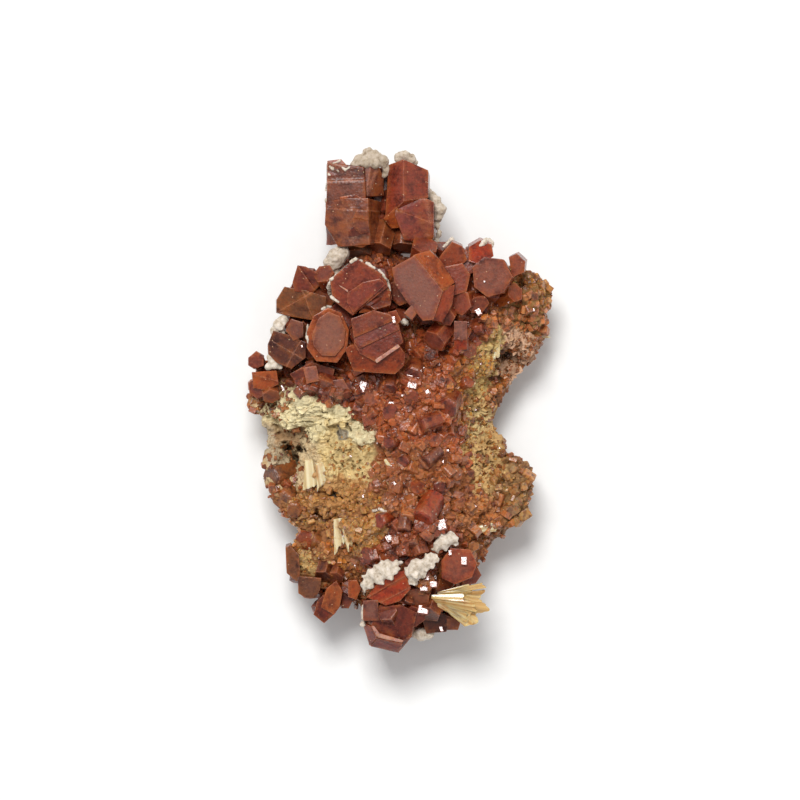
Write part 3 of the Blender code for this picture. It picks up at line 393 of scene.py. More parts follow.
# ---------------------------------------------------------------- small crystals
# A bud is a crystal of the drusy crust that stands out, at (x, y).
Bud = namedtuple("Bud", "x y across lean towards spin tint", defaults=(0, "rust"))
BUDS = [
    Bud(-9.9, 2.2, 3.0, 28, 80, 20, "mauve"),
    Bud(1.9, 4.1, 3.4, 35, 250, 0, "garnet"),
    Bud(-1.6, 1.8, 2.9, 50, 260, 15, "garnet"),
    Bud(4.8, 7.9, 2.6, 25, 60, 0, "mauve"),
    Bud(6.9, 10.2, 2.6, 60, 200, 20, "mauve"),
    Bud(13.1, 14.3, 2.4, 40, 60, 0, "mauve"),
    Bud(11.2, 7.9, 3.4, 45, 300, 0, "glow"),
    Bud(7.7, 6.3, 2.8, 35, 220, 0, "glow"),
    Bud(-1.6, -1.8, 3.2, 15, 240, 0, "rust"),
    Bud(7.2, -1.4, 4.5, 24, 240, 0, "rust"),
    Bud(1.9, 0.6, 2.9, 30, 300, 0, "rust"),
    Bud(-1.9, -6.6, 2.4, 35, 180, 0, "rust"),
    Bud(5.6, -6.2, 2.6, 20, 30, 0, "glow"),
    Bud(3.2, -3.8, 3.2, 65, 200, 0, "rust"),
    Bud(4.0, -9.7, 2.9, 70, 220, 0, "mauve"),
    Bud(0.3, -9.7, 2.6, 30, 210, 0, "rust"),
    Bud(2.9, -13.5, 3.0, 35, 60, 0, "glow"),
    Bud(6.4, -13.8, 2.6, 25, 300, 0, "rust"),
    Bud(-3.5, -19.1, 3.0, 40, 200, 0, "bright"),
    Bud(3.4, -19.0, 4.6, 55, 240, 0, "bright"),
    Bud(0.6, -20.7, 2.7, 70, 262, 30, "mauve"),
    Bud(1.9, -23.4, 3.2, 50, 260, 0, "mauve"),
    Bud(-5.4, -24.7, 3.2, 40, 200, 0, "rust"),
    Bud(9.3, 0.2, 2.9, 50, 20, 0, "glow"),
    Bud(11.2, 3.4, 2.9, 50, 20, 0, "glow"),
    Bud(8.4, 4.0, 3.6, 80, 30, 0, "glow"),
    Bud(-20.8, -12.2, 4.2, 50, 200, 10, "honey"),
    Bud(-19.0, -16.0, 4.4, 45, 230, 0, "tan"),
    Bud(-17.0, -17.6, 3.0, 30, 250, 20, "tan"),
    Bud(-21.4, -9.2, 2.2, 40, 170, 0, "tan"),
    Bud(-15.4, -22.4, 4.0, 35, 200, 0, "orange"),
    Bud(-12.6, -21.6, 3.0, 40, 60, 10, "tan"),
]
# Small crystal ends that shine: x, y, breadth, height and turn.
SHINING = [
    (-6.0, 2.4, 1.2, 1.9, -20), (1.7, 4.7, 1.1, 1.6, -15), (2.9, 4.5, 0.8, 1.7, -18), (1.9, 2.6, 1.6, 1.0, -15),
    (4.4, 1.5, 0.7, 0.9, 30), (-1.4, -0.2, 1.0, 0.3, 0), (0.4, 1.0, 0.4, 0.4, 0), (7.6, -7.8, 0.4, 0.4, 0),
    (6.6, -19.6, 1.5, 1.8, 15), (-1.8, -21.8, 1.0, 1.2, 35), (-0.9, -13.0, 0.4, 0.6, 40),
    (-5.9, -15.1, 0.3, 0.6, 0), (8.6, -18.2, 0.4, 0.4, 0), (4.2, -28.0, 0.9, 1.0, 0), (5.5, -28.0, 0.7, 1.0, 0),
    (3.8, -29.8, 1.3, 0.7, 0), (5.3, -29.1, 1.2, 1.0, 0), (3.7, -33.2, 1.8, 1.4, -8), (10.2, -25.4, 1.0, 1.4, 0),
    (12.5, 14.3, 0.9, 1.2, 30), (13.4, 19.1, 0.3, 0.3, 0), (21.3, 14.8, 0.5, 0.9, 0), (17.3, 15.8, 0.3, 0.3, 0),
    (-1.0, 13.0, 0.5, 1.2, 10), (6.6, -36.4, 0.5, 0.9, 20), (-18.8, 2.2, 0.4, 1.2, 15), (8.0, -24.1, 0.5, 0.9, 0),
    (6.8, -9.6, 0.4, 0.5, 0), (-1.4, -10.3, 0.4, 0.3, 0), (6.2, 6.0, 0.4, 0.6, 0), (-3.6, -6.6, 0.3, 0.3, 0),
    (-15.6, 8.8, 0.3, 0.5, 20), (-7.9, -8.7, 0.3, 0.3, 0), (9.9, -8.9, 0.3, 0.3, 0), (-9.0, -21.4, 0.3, 0.4, 0),
]
# A growth is an oval of the upper side: the tint of its small crystals, the largest of them, and the share of
# the ground that they cover. Later growths lie over earlier ones.
Growth = namedtuple("Growth", "tint x y wide high turn largest cover")
GROWTHS = [
    Growth("#a0693a", 0, -5, 70, 100, 0, 0.9, 0.9),
    Growth("#a06034", -21, 1.5, 9, 9, 0, 1.8, 1.0),
    Growth("#8c4028", -4, 16.2, 42, 24, 0, 2.2, 1.0),
    Growth("#a8603f", -2.4, 24.2, 16, 7, 0, 1.4, 1.0),
    Growth("#bd7f44", 10, -16, 24, 20, 0, 1.8, 1.0),
    Growth("#9c4b2b", 0, 3.6, 30, 14, 0, 2.4, 1.0),
    Growth("#ba6a3e", 4, -5, 17, 24, 0, 2.2, 1.0),
    Growth("#b07248", 2.4, -14, 18, 16, 0, 1.8, 1.0),
    Growth("#985036", 0, -23, 22, 10, 0, 2.4, 1.0),
    Growth("#783624", -12.5, 2.6, 17, 6, 0, 2.4, 1.0),
    Growth("#c08646", 11.6, 1.0, 8, 13, 10, 1.4, 0.85),
    Growth("#c89c54", 20.8, 17.8, 9, 14, 30, 1.3, 1.0),
    Growth("#c98a56", 18.4, 14.0, 11, 8, 0, 1.6, 1.0),
    Growth("#a88466", 18.5, 6.6, 8.5, 10, 0, 0.7, 0.2),
    Growth("#cdb06a", 13.6, 6.6, 5, 13, -20, 0.6, 0.35),
    Growth("#c2a05e", 13.6, -7.0, 6.5, 16, 8, 0.7, 0.35),
    Growth("#bd9f68", 18.9, -14.7, 8, 11, 0, 2.2, 1.0),
    Growth("#cf9258", 13.4, -17.6, 8, 5, 0, 1.8, 1.0),
    Growth("#a87e58", 15, -22.0, 7, 4, 0, 1.0, 0.8),
    Growth("#985c33", -20.4, -13, 7, 14, 0, 2.2, 1.0),
    Growth("#caa462", -10.4, -18.5, 16, 14, 0, 1.1, 0.9),
    Growth("#c78e4a", -13, -25.4, 11, 9, 0, 1.6, 1.0),
    Growth("#c9b784", -12.6, -5.6, 20, 15.5, -12, 0.5, 0.0),
    Growth("#c9a866", -8.4, -9.4, 7.5, 8, 0, 0.6, 0.2),
    Growth("#b08454", -20.5, -0.6, 5, 5, 0, 1.0, 0.35),
    Growth("#dcc084", -13.8, -25.6, 6.5, 5, -30, 0.6, 0.7),
    Growth("#763a22", 0.5, -34, 16, 6, 0, 2.0, 1.0),
]
GROWTH_WANDER = 1.6  # how far the ovals' borders wander
# Sizes of the small crystals, largest first: across, and number of tries.
SIZES = [(2.4, 500), (1.8, 1500), (1.35, 4000), (1.0, 9000), (0.75, 16000), (0.55, 26000)]
ACCENTS = ("#c08a4e", "#8f5f52", "#8e4028", "#b0723c")  # colours that small crystals are drawn towards
ROOM = 0.34  # share of two neighbours' breadths that they keep between their middles
# Painted shade: the crust between the crystals is drawn darker than they are.
BED_SHADE = 0.9  # brightness of the crust between its crystals, in shares of theirs
SIDE_GRAINS = 0.5  # grains on each square millimetre of the rock's sides
SPARKLES = 0.02  # share of the smallest crystals whose end shines
SMALL = 0.9  # below this breadth a small crystal is a plain prism

# ---------------------------------------------------------------- rock
# A patch is an oval of the rock's upper side: its tint, and how fibrous and how gritty it is. Later patches
# lie over earlier ones.
Patch = namedtuple("Patch", "tint x y wide high turn strength fibre grit")
PATCHES = [
    Patch("#8f5c33", 0, -6, 60, 90, 0, 0.6, 0, 1),
    Patch("#6e3524", -3, 17, 44, 26, 0, 0.9, 0, 1),
    Patch("#7d4a28", 5, -6, 20, 44, 0, 0.9, 0, 1),
    Patch("#8a5a34", -9, -22, 26, 26, 0, 0.7, 0, 1),
    Patch("#b8a37c", -17, -6, 16, 18, 0, 0.9, 0, 0.3),
    Patch("#d4c79e", -13.6, -2.2, 17.5, 8, -8, 1.0, 1, 0.2),
    Patch("#c3ae88", -16.5, -9.5, 9, 8, 0, 0.9, 0, 0.1),
    Patch("#cdb680", -8.6, -8.5, 9, 11, 0, 0.9, 0.6, 0.7),
    Patch("#d2c8a4", -6.0, -5.2, 5, 4, 0, 0.8, 0.6, 0.3),
    Patch("#a9997f", -20.6, -8.0, 3.4, 9, 20, 0.9, 0, 0.1),
    Patch("#8d8577", -9.0, -5.2, 1.6, 1.6, 0, 0.9, 0, 0.3),
    Patch("#8f6a48", -17.6, -5.6, 5, 2.6, 10, 0.7, 0, 0.6),
    Patch("#847052", -17.4, -8.2, 4.0, 3.6, 0, 0.8, 0, 0.5),
    Patch("#ac7c48", -11.0, -15.0, 12, 7, 0, 0.8, 0, 1),
    Patch("#6f6152", -10.9, -14.4, 3.0, 1.8, 0, 0.9, 0, 0.6),
    Patch("#b99a64", -14.6, -26.4, 6, 3.0, -40, 0.9, 0.4, 0.6),
    Patch("#bf9d68", 13.5, -7.5, 7.5, 18, 8, 1.0, 0.3, 1),
    Patch("#cbb582", 12.4, -3.0, 4.0, 6, 15, 0.8, 0.7, 0.8),
    Patch("#bc987c", 18.5, 6.8, 8, 10, 0, 1.0, 0, 1),
    Patch("#cdb274", 14.2, 6.6, 4.4, 12, -20, 0.9, 0.6, 0.5),
    Patch("#86643a", 20.5, 16.5, 9, 13, 30, 0.9, 0, 1),
    Patch("#80603c", 18.6, -14.5, 7, 11, 0, 0.9, 0, 1),
    Patch("#b07448", 12.0, -17.5, 8, 6, 0, 0.8, 0, 1),
    Patch("#8e6e50", 15.5, -21.6, 6, 3, 20, 0.9, 0, 1),
]
PATCH_WARP = 1.6  # how far the patches' borders wander
PATCH_EDGE = 0.3  # share of a patch's size over which it fades out
ROCK_GAIN = 1.3  # makes up for the shade between the grains
ROCK_TINT = "#8a5a36"
BACK_TINT = "#7d573b"
# A swell is an oval of the upper side that stands out, or lies deeper where the rise is negative.
Swell = namedtuple("Swell", "x y wide high turn rise")
SWELLS = [
    Swell(-13.6, -1.6, 14, 5.6, -8, 1.3),
    Swell(-17.6, -5.0, 5, 1.8, 5, -0.9),
    Swell(-11.4, -4.3, 3.6, 1.8, 40, 0.9),
    Swell(-6.2, -5.0, 5, 3.4, 0, 0.8),
    Swell(-13.4, -11.6, 1.6, 6, 8, 0.8),
    Swell(-9.6, -9.6, 3, 6, -20, 0.5),
    Swell(-11.0, -14.6, 4, 1.6, 15, -1.4),
    Swell(13.2, -2.0, 4, 5, 0, 0.6),
    Swell(12.8, -10.6, 3.4, 6, 10, 0.7),
    Swell(17.6, 6.4, 3.4, 5.4, 20, -1.5),
    Swell(14.6, 8.4, 1.6, 8, -20, 0.9),
    Swell(-14.8, -26.4, 5.4, 2.2, -40, 0.7),
    Swell(13.4, -20.2, 5, 1.8, 12, 0.8),
]

# A hollow is a round hole in the rock.
Hollow = namedtuple("Hollow", "x y radius depth")
HOLLOWS = [
    Hollow(-17.2, -8.3, 1.3, 1.6),
    Hollow(-18.0, -7.8, 0.8, 0.9),
    Hollow(-16.7, -8.8, 0.8, 1.4),
    Hollow(-12.0, -2.5, 0.45, 1.4),
    Hollow(-11.3, -2.8, 0.5, 1.6),
    Hollow(-10.7, -3.5, 0.4, 1.3),
    Hollow(-10.3, -4.3, 0.35, 1.0),
    Hollow(-17.5, -4.2, 0.35, 1.0),
    Hollow(-17.2, -4.9, 0.3, 0.8),
    Hollow(-7.7, -4.1, 0.45, 1.2),
    Hollow(-12.7, -18.4, 0.7, 1.6),
    Hollow(-13.6, -18.1, 0.6, 1.2),
    Hollow(-11.8, -18.2, 0.5, 1.0),
    Hollow(-11.4, -14.0, 0.5, 0.9),
    Hollow(-10.4, -14.3, 0.45, 0.9),
    Hollow(-7.6, -16.2, 0.4, 1.0),
    Hollow(-6.9, -16.4, 0.3, 0.8),
    Hollow(-8.0, -22.2, 0.35, 1.0),
    Hollow(-7.9, -23.4, 0.35, 1.0),
    Hollow(17.2, 6.6, 1.0, 1.8),
    Hollow(16.2, 3.4, 0.7, 1.4),
    Hollow(15.8, 10.6, 0.5, 1.0),
    Hollow(18.8, 9.0, 0.5, 1.2),
    Hollow(13.0, -8.7, 0.4, 1.2),
    Hollow(10.3, -18.1, 0.5, 1.2),
    Hollow(13.2, -18.3, 0.5, 1.0),
    Hollow(15.3, -16.4, 0.6, 1.0),
    Hollow(10.4, -5.9, 0.45, 1.0),
    Hollow(16.0, -12.2, 0.7, 1.2),
]
# Fields of pores: x, y, half width, half height, number.
PORE_FIELDS = [
    (13.8, -6.5, 3.4, 8.0, 60), (18.5, 7.0, 3.6, 4.6, 30), (-14, -3.0, 7.5, 4.0, 26), (-8, -9.5, 4, 5, 16),
]
PORE_RADII = (0.1, 0.28)

# ---------------------------------------------------------------- white crust and barite
# A crust is a row of beads, x y z radius, which grow into one lump. It stands for the solid of its name.
CRUSTS = {
    "crown_cap": [
        (-7.2, 37.7, 17.6, 0.8), (-6.4, 38.5, 17.6, 1.0), (-5.1, 39.7, 17.4, 0.9), (-4.0, 39.1, 17.6, 1.1),
        (-2.8, 38.4, 17.4, 1.1), (-2.1, 37.0, 17.0, 0.7), (-5.4, 38.2, 18.0, 1.1), (-3.9, 38.0, 18.2, 0.9),
        (-2.4, 36.2, 16.8, 0.5), (-4.9, 40.3, 17.2, 0.4),
    ],
    "crown_right_cap": [(-0.2, 39.0, 15.6, 0.8), (0.8, 39.3, 15.8, 0.9), (1.8, 38.8, 15.6, 0.9), (2.4, 38.2, 15.2, 0.5)],
    "crown_side": [
        (4.6, 33.8, 14.0, 0.5), (5.0, 33.0, 14.2, 0.8), (5.7, 32.1, 14.4, 1.0), (6.3, 30.8, 14.4, 1.1),
        (6.1, 29.6, 14.2, 0.9), (5.8, 28.2, 14.0, 0.6), (6.2, 26.8, 13.8, 0.6), (5.7, 25.7, 13.6, 0.5),
    ],
    "neck": [
        (-9.3, 23.7, 17.0, 1.3), (-10.2, 22.9, 17.2, 1.6), (-10.9, 21.9, 17.0, 1.4), (-11.6, 20.9, 16.6, 1.0),
        (-10.4, 20.8, 16.6, 0.9),
    ],
    "left_upper": [(-18.6, 12.9, 18.4, 0.8), (-19.2, 12.2, 18.4, 1.1), (-19.8, 11.3, 18.0, 0.9), (-18.9, 11.0, 18.0, 0.6)],
    "left_lower": [(-20.6, 7.0, 17.0, 0.8), (-20.0, 6.1, 17.0, 0.9), (-21.1, 5.5, 16.6, 0.6), (-19.3, 5.7, 17.0, 0.6)],
    "lower_middle": [
        (-5.2, -28.4, 18.8, 0.8), (-4.4, -27.4, 19.4, 0.9), (-3.0, -26.7, 19.8, 1.1), (-1.9, -26.2, 19.8, 1.0),
        (-0.6, -25.8, 19.6, 0.6), (-5.5, -29.5, 18.4, 0.7), (0.2, -25.6, 19.4, 0.4), (-3.4, -28.1, 19.6, 1.0),
        (-2.0, -27.4, 20.0, 0.9), (-4.9, -29.2, 19.0, 0.7), (-0.8, -26.8, 20.0, 0.6), (-2.2, -25.5, 19.6, 0.4),
    ],
    "lower_right": [
        (1.8, -27.3, 20.4, 1.0), (2.6, -26.3, 20.8, 1.3), (2.1, -28.5, 20.0, 0.8), (4.3, -25.7, 20.8, 1.1),
        (5.3, -24.9, 20.4, 0.8), (3.4, -27.2, 20.4, 0.8),
    ],
    "lower_cap": [(5.9, -23.3, 18.6, 0.8), (6.9, -22.4, 18.8, 1.2), (8.0, -21.8, 18.6, 1.0), (8.8, -22.5, 18.2, 0.6)],
    "foot": [(2.6, -37.1, 12.6, 0.8), (3.5, -37.3, 12.6, 1.1), (4.6, -37.3, 12.4, 0.8)],
}
# Thin seams of crust along crystal edges: x y and radius of each point. They lie on what is below them.
SEAMS = [
    [(-11.0, 19.3, 0.26), (-9.9, 20.5, 0.3), (-8.3, 21.8, 0.3), (-6.9, 22.7, 0.32), (-5.5, 22.1, 0.3), (-4.1, 21.2, 0.26)],
    [(-3.4, 20.9, 0.22), (-2.7, 20.2, 0.28), (-1.8, 18.7, 0.26), (-1.5, 17.6, 0.18)],
    [(-11.1, 19.2, 0.26), (-11.3, 18.2, 0.42), (-11.2, 17.2, 0.42), (-10.6, 16.4, 0.3), (-9.8, 15.8, 0.2)],
    [(-12.3, 14.7, 0.25), (-11.6, 15.1, 0.35), (-11.0, 15.1, 0.22)],
    [(-14.7, 12.2, 0.16), (-14.9, 10.8, 0.22), (-14.6, 9.2, 0.16)],
    [(7.0, 24.7, 0.3), (8.0, 25.6, 0.45), (9.0, 26.3, 0.5), (9.7, 26.9, 0.4)],
    [(12.8, 24.8, 0.3), (13.9, 25.8, 0.5), (14.6, 25.6, 0.5), (14.7, 24.8, 0.3)],
    [(0.7, 12.7, 0.6), (0.9, 12.5, 0.55)],
    [(-4.3, -17.5, 0.3), (-3.1, -17.2, 0.35), (-1.9, -17.7, 0.3), (-1.3, -18.3, 0.2)],
    [(3.2, -16.9, 0.3), (4.3, -17.2, 0.45), (5.4, -17.9, 0.4)],
    [(-5.6, -30.3, 0.25), (-5.8, -31.4, 0.2)],
    [(-5.9, -32.6, 0.16), (-6.0, -34.2, 0.28), (-5.9, -35.6, 0.5), (-6.0, -37.0, 0.3), (-5.6, -38.0, 0.2)],
    [(-11.7, 34.8, 0.2), (-11.8, 33.6, 0.3), (-11.8, 32.0, 0.3)],
    [(-10.6, 38.0, 0.25), (-9.6, 38.4, 0.2)],
    [(-11.2, 37.5, 0.2), (-10.7, 37.1, 0.26)],
    [(-11.5, 36.4, 0.18), (-11.2, 36.1, 0.22)],
    [(-10.0, 36.9, 0.16), (-9.8, 36.7, 0.18)],
    [(-9.2, 37.3, 0.24), (-8.7, 37.0, 0.28), (-8.1, 37.3, 0.18)],
    [(-8.0, 38.0, 0.25), (-7.4, 38.2, 0.25)],
]
# Painted shade: how far each lump of crust is greyed.
SHADED_CRUSTS = {"crown_cap": 1.0, "crown_side": 0.5, "crown_right_cap": 0.7, "neck": 0.4}  # how grey a crust is
BEAD_VOXEL = 0.2
SEAM_VOXEL = 0.16

# A blade of barite: root, length, breadth, thickness, compass angle, rise, roll.
Blade = namedtuple("Blade", "x y z long wide thick turn rise roll")
FAN = [
    Blade(5.0, -31.0, 16.5, 9.0, 0.9, 0.4, 11, 2, 10),
    Blade(5.2, -31.6, 17.3, 7.2, 1.7, 0.35, -10, 1, 22),
    Blade(5.4, -32.0, 17.0, 6.4, 1.6, 0.35, -26, 0, -14),
    Blade(5.0, -31.2, 17.6, 5.4, 1.4, 0.3, -2, 3, -20),
]
# A sheet of barite blades grown into one fan: root, reach, first and last compass angle, rise, droop of the
# outer edge, thickness, spikes (angle, reach, half width) and seed.
Sheet = namedtuple("Sheet", "x y z long first last rise droop thick spikes seed")
SHEETS = [
    Sheet(4.8, -31.0, 16.4, 8.1, -36, 6, 1, 0.8, 0.5, ((-15, 0.9, 10), (5, 0.6, 4)), 3.1),
    Sheet(5.2, -31.6, 17.0, 6.4, -40, -12, 2, 0.6, 0.4, ((-30, 1.0, 8),), 8.4),
    Sheet(5.4, -30.6, 16.8, 5.4, -16, 14, 1, 0.5, 0.4, ((4, 0.8, 6),), 14.7),
]
SLIVERS = [
    Blade(-14.6, -9.3, 17.6, 5.0, 2.6, 0.7, -86, -4, 8),
    Blade(-13.0, -9.8, 17.6, 4.4, 2.4, 0.6, -78, -4, -10),
    Blade(-9.9, -18.7, 16.4, 5.6, 3.2, 0.7, -80, -4, 6),
    Blade(-8.9, -20.2, 16.6, 3.4, 1.5, 0.6, -70, -4, -16),
    Blade(-2.6, -12.6, 18.4, 1.9, 0.9, 0.4, -50, -4, 20),
    Blade(-2.4, -9.2, 18.6, 2.2, 0.9, 0.4, -60, -4, 20),
    Blade(11.4, -20.8, 15.2, 4.4, 1.6, 0.7, 12, 0, 20),
    Blade(16.0, 10.6, 16.4, 4.0, 1.1, 0.5, -100, -8, 20),
    Blade(21.6, 10.4, 12.6, 2.6, 1.0, 0.5, 8, 0, 20),
]
BLADE_GRAIN = 0.35


# ---------------------------------------------------------------- node helpers
def linear(code):
    """An sRGB hex colour as the linear colour that a shader takes."""
    parts = [int(code[place : place + 2], 16) / 255 for place in (1, 3, 5)]
    parts = [part / 12.92 if part <= 0.04045 else ((part + 0.055) / 1.055) ** 2.4 for part in parts]
    return (*parts, 1.0)


def per(size):
    """Scale of a pattern whose features are that many millimetres across."""
    return 1 / (size * MM)


def add(tree, kind, inputs=None, stops=None, **settings):
    """Adds a node. An input takes a value or another node's output, and stops are a ramp's colours."""
    made = tree.nodes.new("ShaderNode" + kind)
    for name, value in settings.items():
        setattr(made, name, value)
    for name, value in (inputs or {}).items():
        if isinstance(value, bpy.types.NodeSocket):
            tree.links.new(value, made.inputs[name])
        else:
            made.inputs[name].default_value = value
    if stops:
        ramp = made.color_ramp.elements
        ramp[0].position, ramp[0].color = stops[0][0], linear(stops[0][1])
        ramp[1].position, ramp[1].color = stops[-1][0], linear(stops[-1][1])
        for place, code in stops[1:-1]:
            ramp.new(place).color = linear(code)
    return made


def new_material(name):
    material = bpy.data.materials.new(name)
    material.use_nodes = True
    tree = material.node_tree
    return material, tree, tree.nodes["Principled BSDF"]


def blend(tree, share, first, second, way="MIX"):
    made = add(tree, "Mix", {0: share, 6: first, 7: second}, data_type="RGBA", blend_type=way)
    return made.outputs[2]


# ---------------------------------------------------------------- materials
def vanadinite(name, specular, grit, striae=0.0):
    """Vanadinite as grown. A red-brown translucent body lies under a resinous lustre: edges carry painted pale
    highlight lines with a painted orange glow behind them, end faces of large crystals are frosted and paled by a
    painted sheen, tiny painted glints fleck the faces, and intergrown grains break up the faces."""
    material, tree, shader = new_material(name)
    place = add(tree, "TexCoord").outputs["Object"]
    tint = add(tree, "Attribute", attribute_name="tint").outputs["Color"]
    edge = add(tree, "Attribute", attribute_name="edge").outputs["Fac"]
    frost = add(tree, "Attribute", attribute_name="frost").outputs["Fac"]
    zones = add(tree, "TexNoise", {"Vector": place, "Scale": per(2.0), "Detail": 5.0, "Roughness": 0.65})
    shades = add(
        tree,
        "ValToRGB",
        {"Fac": zones.outputs["Fac"]},
        [(0.28, "#8e6a66"), (0.42, "#dccac4"), (0.52, "#fff8f4"), (0.62, "#ffe8bc"), (0.75, "#ffd080")],
    )
    body = blend(tree, 1.0, tint, shades.outputs["Color"], "MULTIPLY")
    chips = add(tree, "TexVoronoi", {"Vector": place, "Scale": per(0.45)})
    chipped = add(
        tree,
        "ValToRGB",
        {"Fac": chips.outputs["Color"]},
        [(0.2, "#8a6c62"), (0.42, "#e4d8d2"), (0.6, "#fffefc"), (0.8, "#ffe2b4")],
    )
    body = blend(tree, grit, body, chipped.outputs["Color"], "MULTIPLY")
    flecks = add(tree, "TexNoise", {"Vector": place, "Scale": per(0.3), "Detail": 4.0, "Roughness": 0.7})
    relief = add(tree, "Bump", {"Height": flecks.outputs["Fac"], "Strength": 0.45, "Distance": 0.1 * MM})
    if striae:
        along = add(tree, "Attribute", attribute_name="along").outputs["Fac"]
        wavy = add(tree, "Math", {0: zones.outputs["Fac"], 1: 1.5, 2: along}, operation="MULTIPLY_ADD")
        lines = add(tree, "TexNoise", {"W": wavy.outputs["Value"], "Scale": 1.8, "Detail": 3.0}, noise_dimensions="1D")
        banded = add(tree, "ValToRGB", {"Fac": lines.outputs["Fac"]}, [(0.35, "#cfc4bf"), (0.5, "#ffffff")])
        body = blend(tree, striae, body, banded.outputs["Color"], "MULTIPLY")
    # Painted sheen: frosted faces are paled towards a mauve brown away from their edges, as a reflection of the studio
    # would pale them.
    painted_sheen = add(tree, "MapRange", {"Value": edge, "From Min": 0.2, "From Max": 1.1, "To Max": 0.75})
    painted_sheen = add(tree, "Math", {0: painted_sheen.outputs["Result"], 1: frost}, operation="MULTIPLY")
    body = blend(tree, painted_sheen.outputs["Value"], body, linear("#80503f"))
    # Painted glow: near the edges the body is drawn towards orange, as light through the thin crystal would glow.
    thin = add(tree, "MapRange", {"Value": edge, "From Min": 0.0, "From Max": 0.7, "To Min": 0.6, "To Max": 0.0})
    warm = add(tree, "MapRange", {"Value": zones.outputs["Fac"], "From Min": 0.4, "From Max": 0.6})
    thin = add(tree, "Math", {0: thin.outputs["Result"], 1: warm.outputs["Result"]}, operation="MULTIPLY")
    body = blend(tree, thin.outputs["Value"], body, linear("#a05a28"))
    # Painted highlight: a pale line along each edge, broken into gaps by the flecks.
    rim = add(tree, "MapRange", {"Value": edge, "From Min": 0.04, "From Max": 0.13, "To Min": 0.42, "To Max": 0.0})
    highlight_gaps = add(tree, "MapRange", {"Value": flecks.outputs["Fac"], "From Min": 0.35, "From Max": 0.6})
    rim = add(tree, "Math", {0: rim.outputs["Result"], 1: highlight_gaps.outputs["Result"]}, operation="MULTIPLY")
    body = blend(tree, rim.outputs["Value"], body, linear("#b67c60"))
    pale = add(tree, "MapRange", {"Value": flecks.outputs["Fac"], "From Min": 0.58, "From Max": 0.72, "To Max": 0.45})
    body = blend(tree, pale.outputs["Result"], body, linear("#ac6a48"))
    dark = add(tree, "MapRange", {"Value": flecks.outputs["Fac"], "From Min": 0.42, "From Max": 0.3, "To Max": 0.5})
    body = blend(tree, dark.outputs["Result"], body, linear("#3a140b"))
    # Painted glints: tiny pale specks scattered over the faces.
    fine_pattern = add(tree, "TexVoronoi", {"Vector": place, "Scale": per(0.9)})
    painted_glints = add(tree, "MapRange", {"Value": fine_pattern.outputs["Distance"], "From Min": 0.12, "From Max": 0.06, "To Max": 0.8})
    some = add(tree, "Math", {0: fine_pattern.outputs["Color"], 1: 0.62 - 0.2 * grit}, operation="GREATER_THAN")
    painted_glints = add(tree, "Math", {0: painted_glints.outputs["Result"], 1: some.outputs["Value"]}, operation="MULTIPLY")
    body = blend(tree, painted_glints.outputs["Value"], body, linear("#d9b48c"))
    tree.links.new(body, shader.inputs["Base Color"])
    dull = add(tree, "MapRange", {"Value": frost, "To Min": 0.25, "To Max": 0.55})
    tree.links.new(dull.outputs["Result"], shader.inputs["Roughness"])
    facets = add(
        tree,
        "Bump",
        {
            "Height": chips.outputs["Distance"],
            "Strength": 0.1 + 0.6 * grit,
            "Distance": 0.1 * MM,
            "Normal": relief.outputs["Normal"],
        },
    )
    tree.links.new(facets.outputs["Normal"], shader.inputs["Normal"])
    shader.inputs["Specular IOR Level"].default_value = specular
    shader.inputs["IOR"].default_value = 1.65
    shader.inputs["Subsurface Weight"].default_value = 0.4
    shader.inputs["Subsurface Radius"].default_value = (1.0, 0.34, 0.16)
    shader.inputs["Subsurface Scale"].default_value = 1.0 * MM
    return material


def bright_ends():
    """Flat, glossy ends of small vanadinite crystals, which mirror the softbox."""
    material, tree, shader = new_material("Vanadinite, bright crystal ends")
    place = add(tree, "TexCoord").outputs["Object"]
    zones = add(tree, "TexNoise", {"Vector": place, "Scale": per(0.6), "Detail": 3.0})
    colour = add(tree, "ValToRGB", {"Fac": zones.outputs["Fac"]}, [(0.35, "#74382c"), (0.65, "#a8705f")])
    tree.links.new(colour.outputs["Color"], shader.inputs["Base Color"])
    relief = add(tree, "Bump", {"Height": zones.outputs["Fac"], "Strength": 0.9, "Distance": 0.12 * MM})
    tree.links.new(relief.outputs["Normal"], shader.inputs["Normal"])
    shader.inputs["Roughness"].default_value = 0.14
    shader.inputs["IOR"].default_value = 1.7
    return material


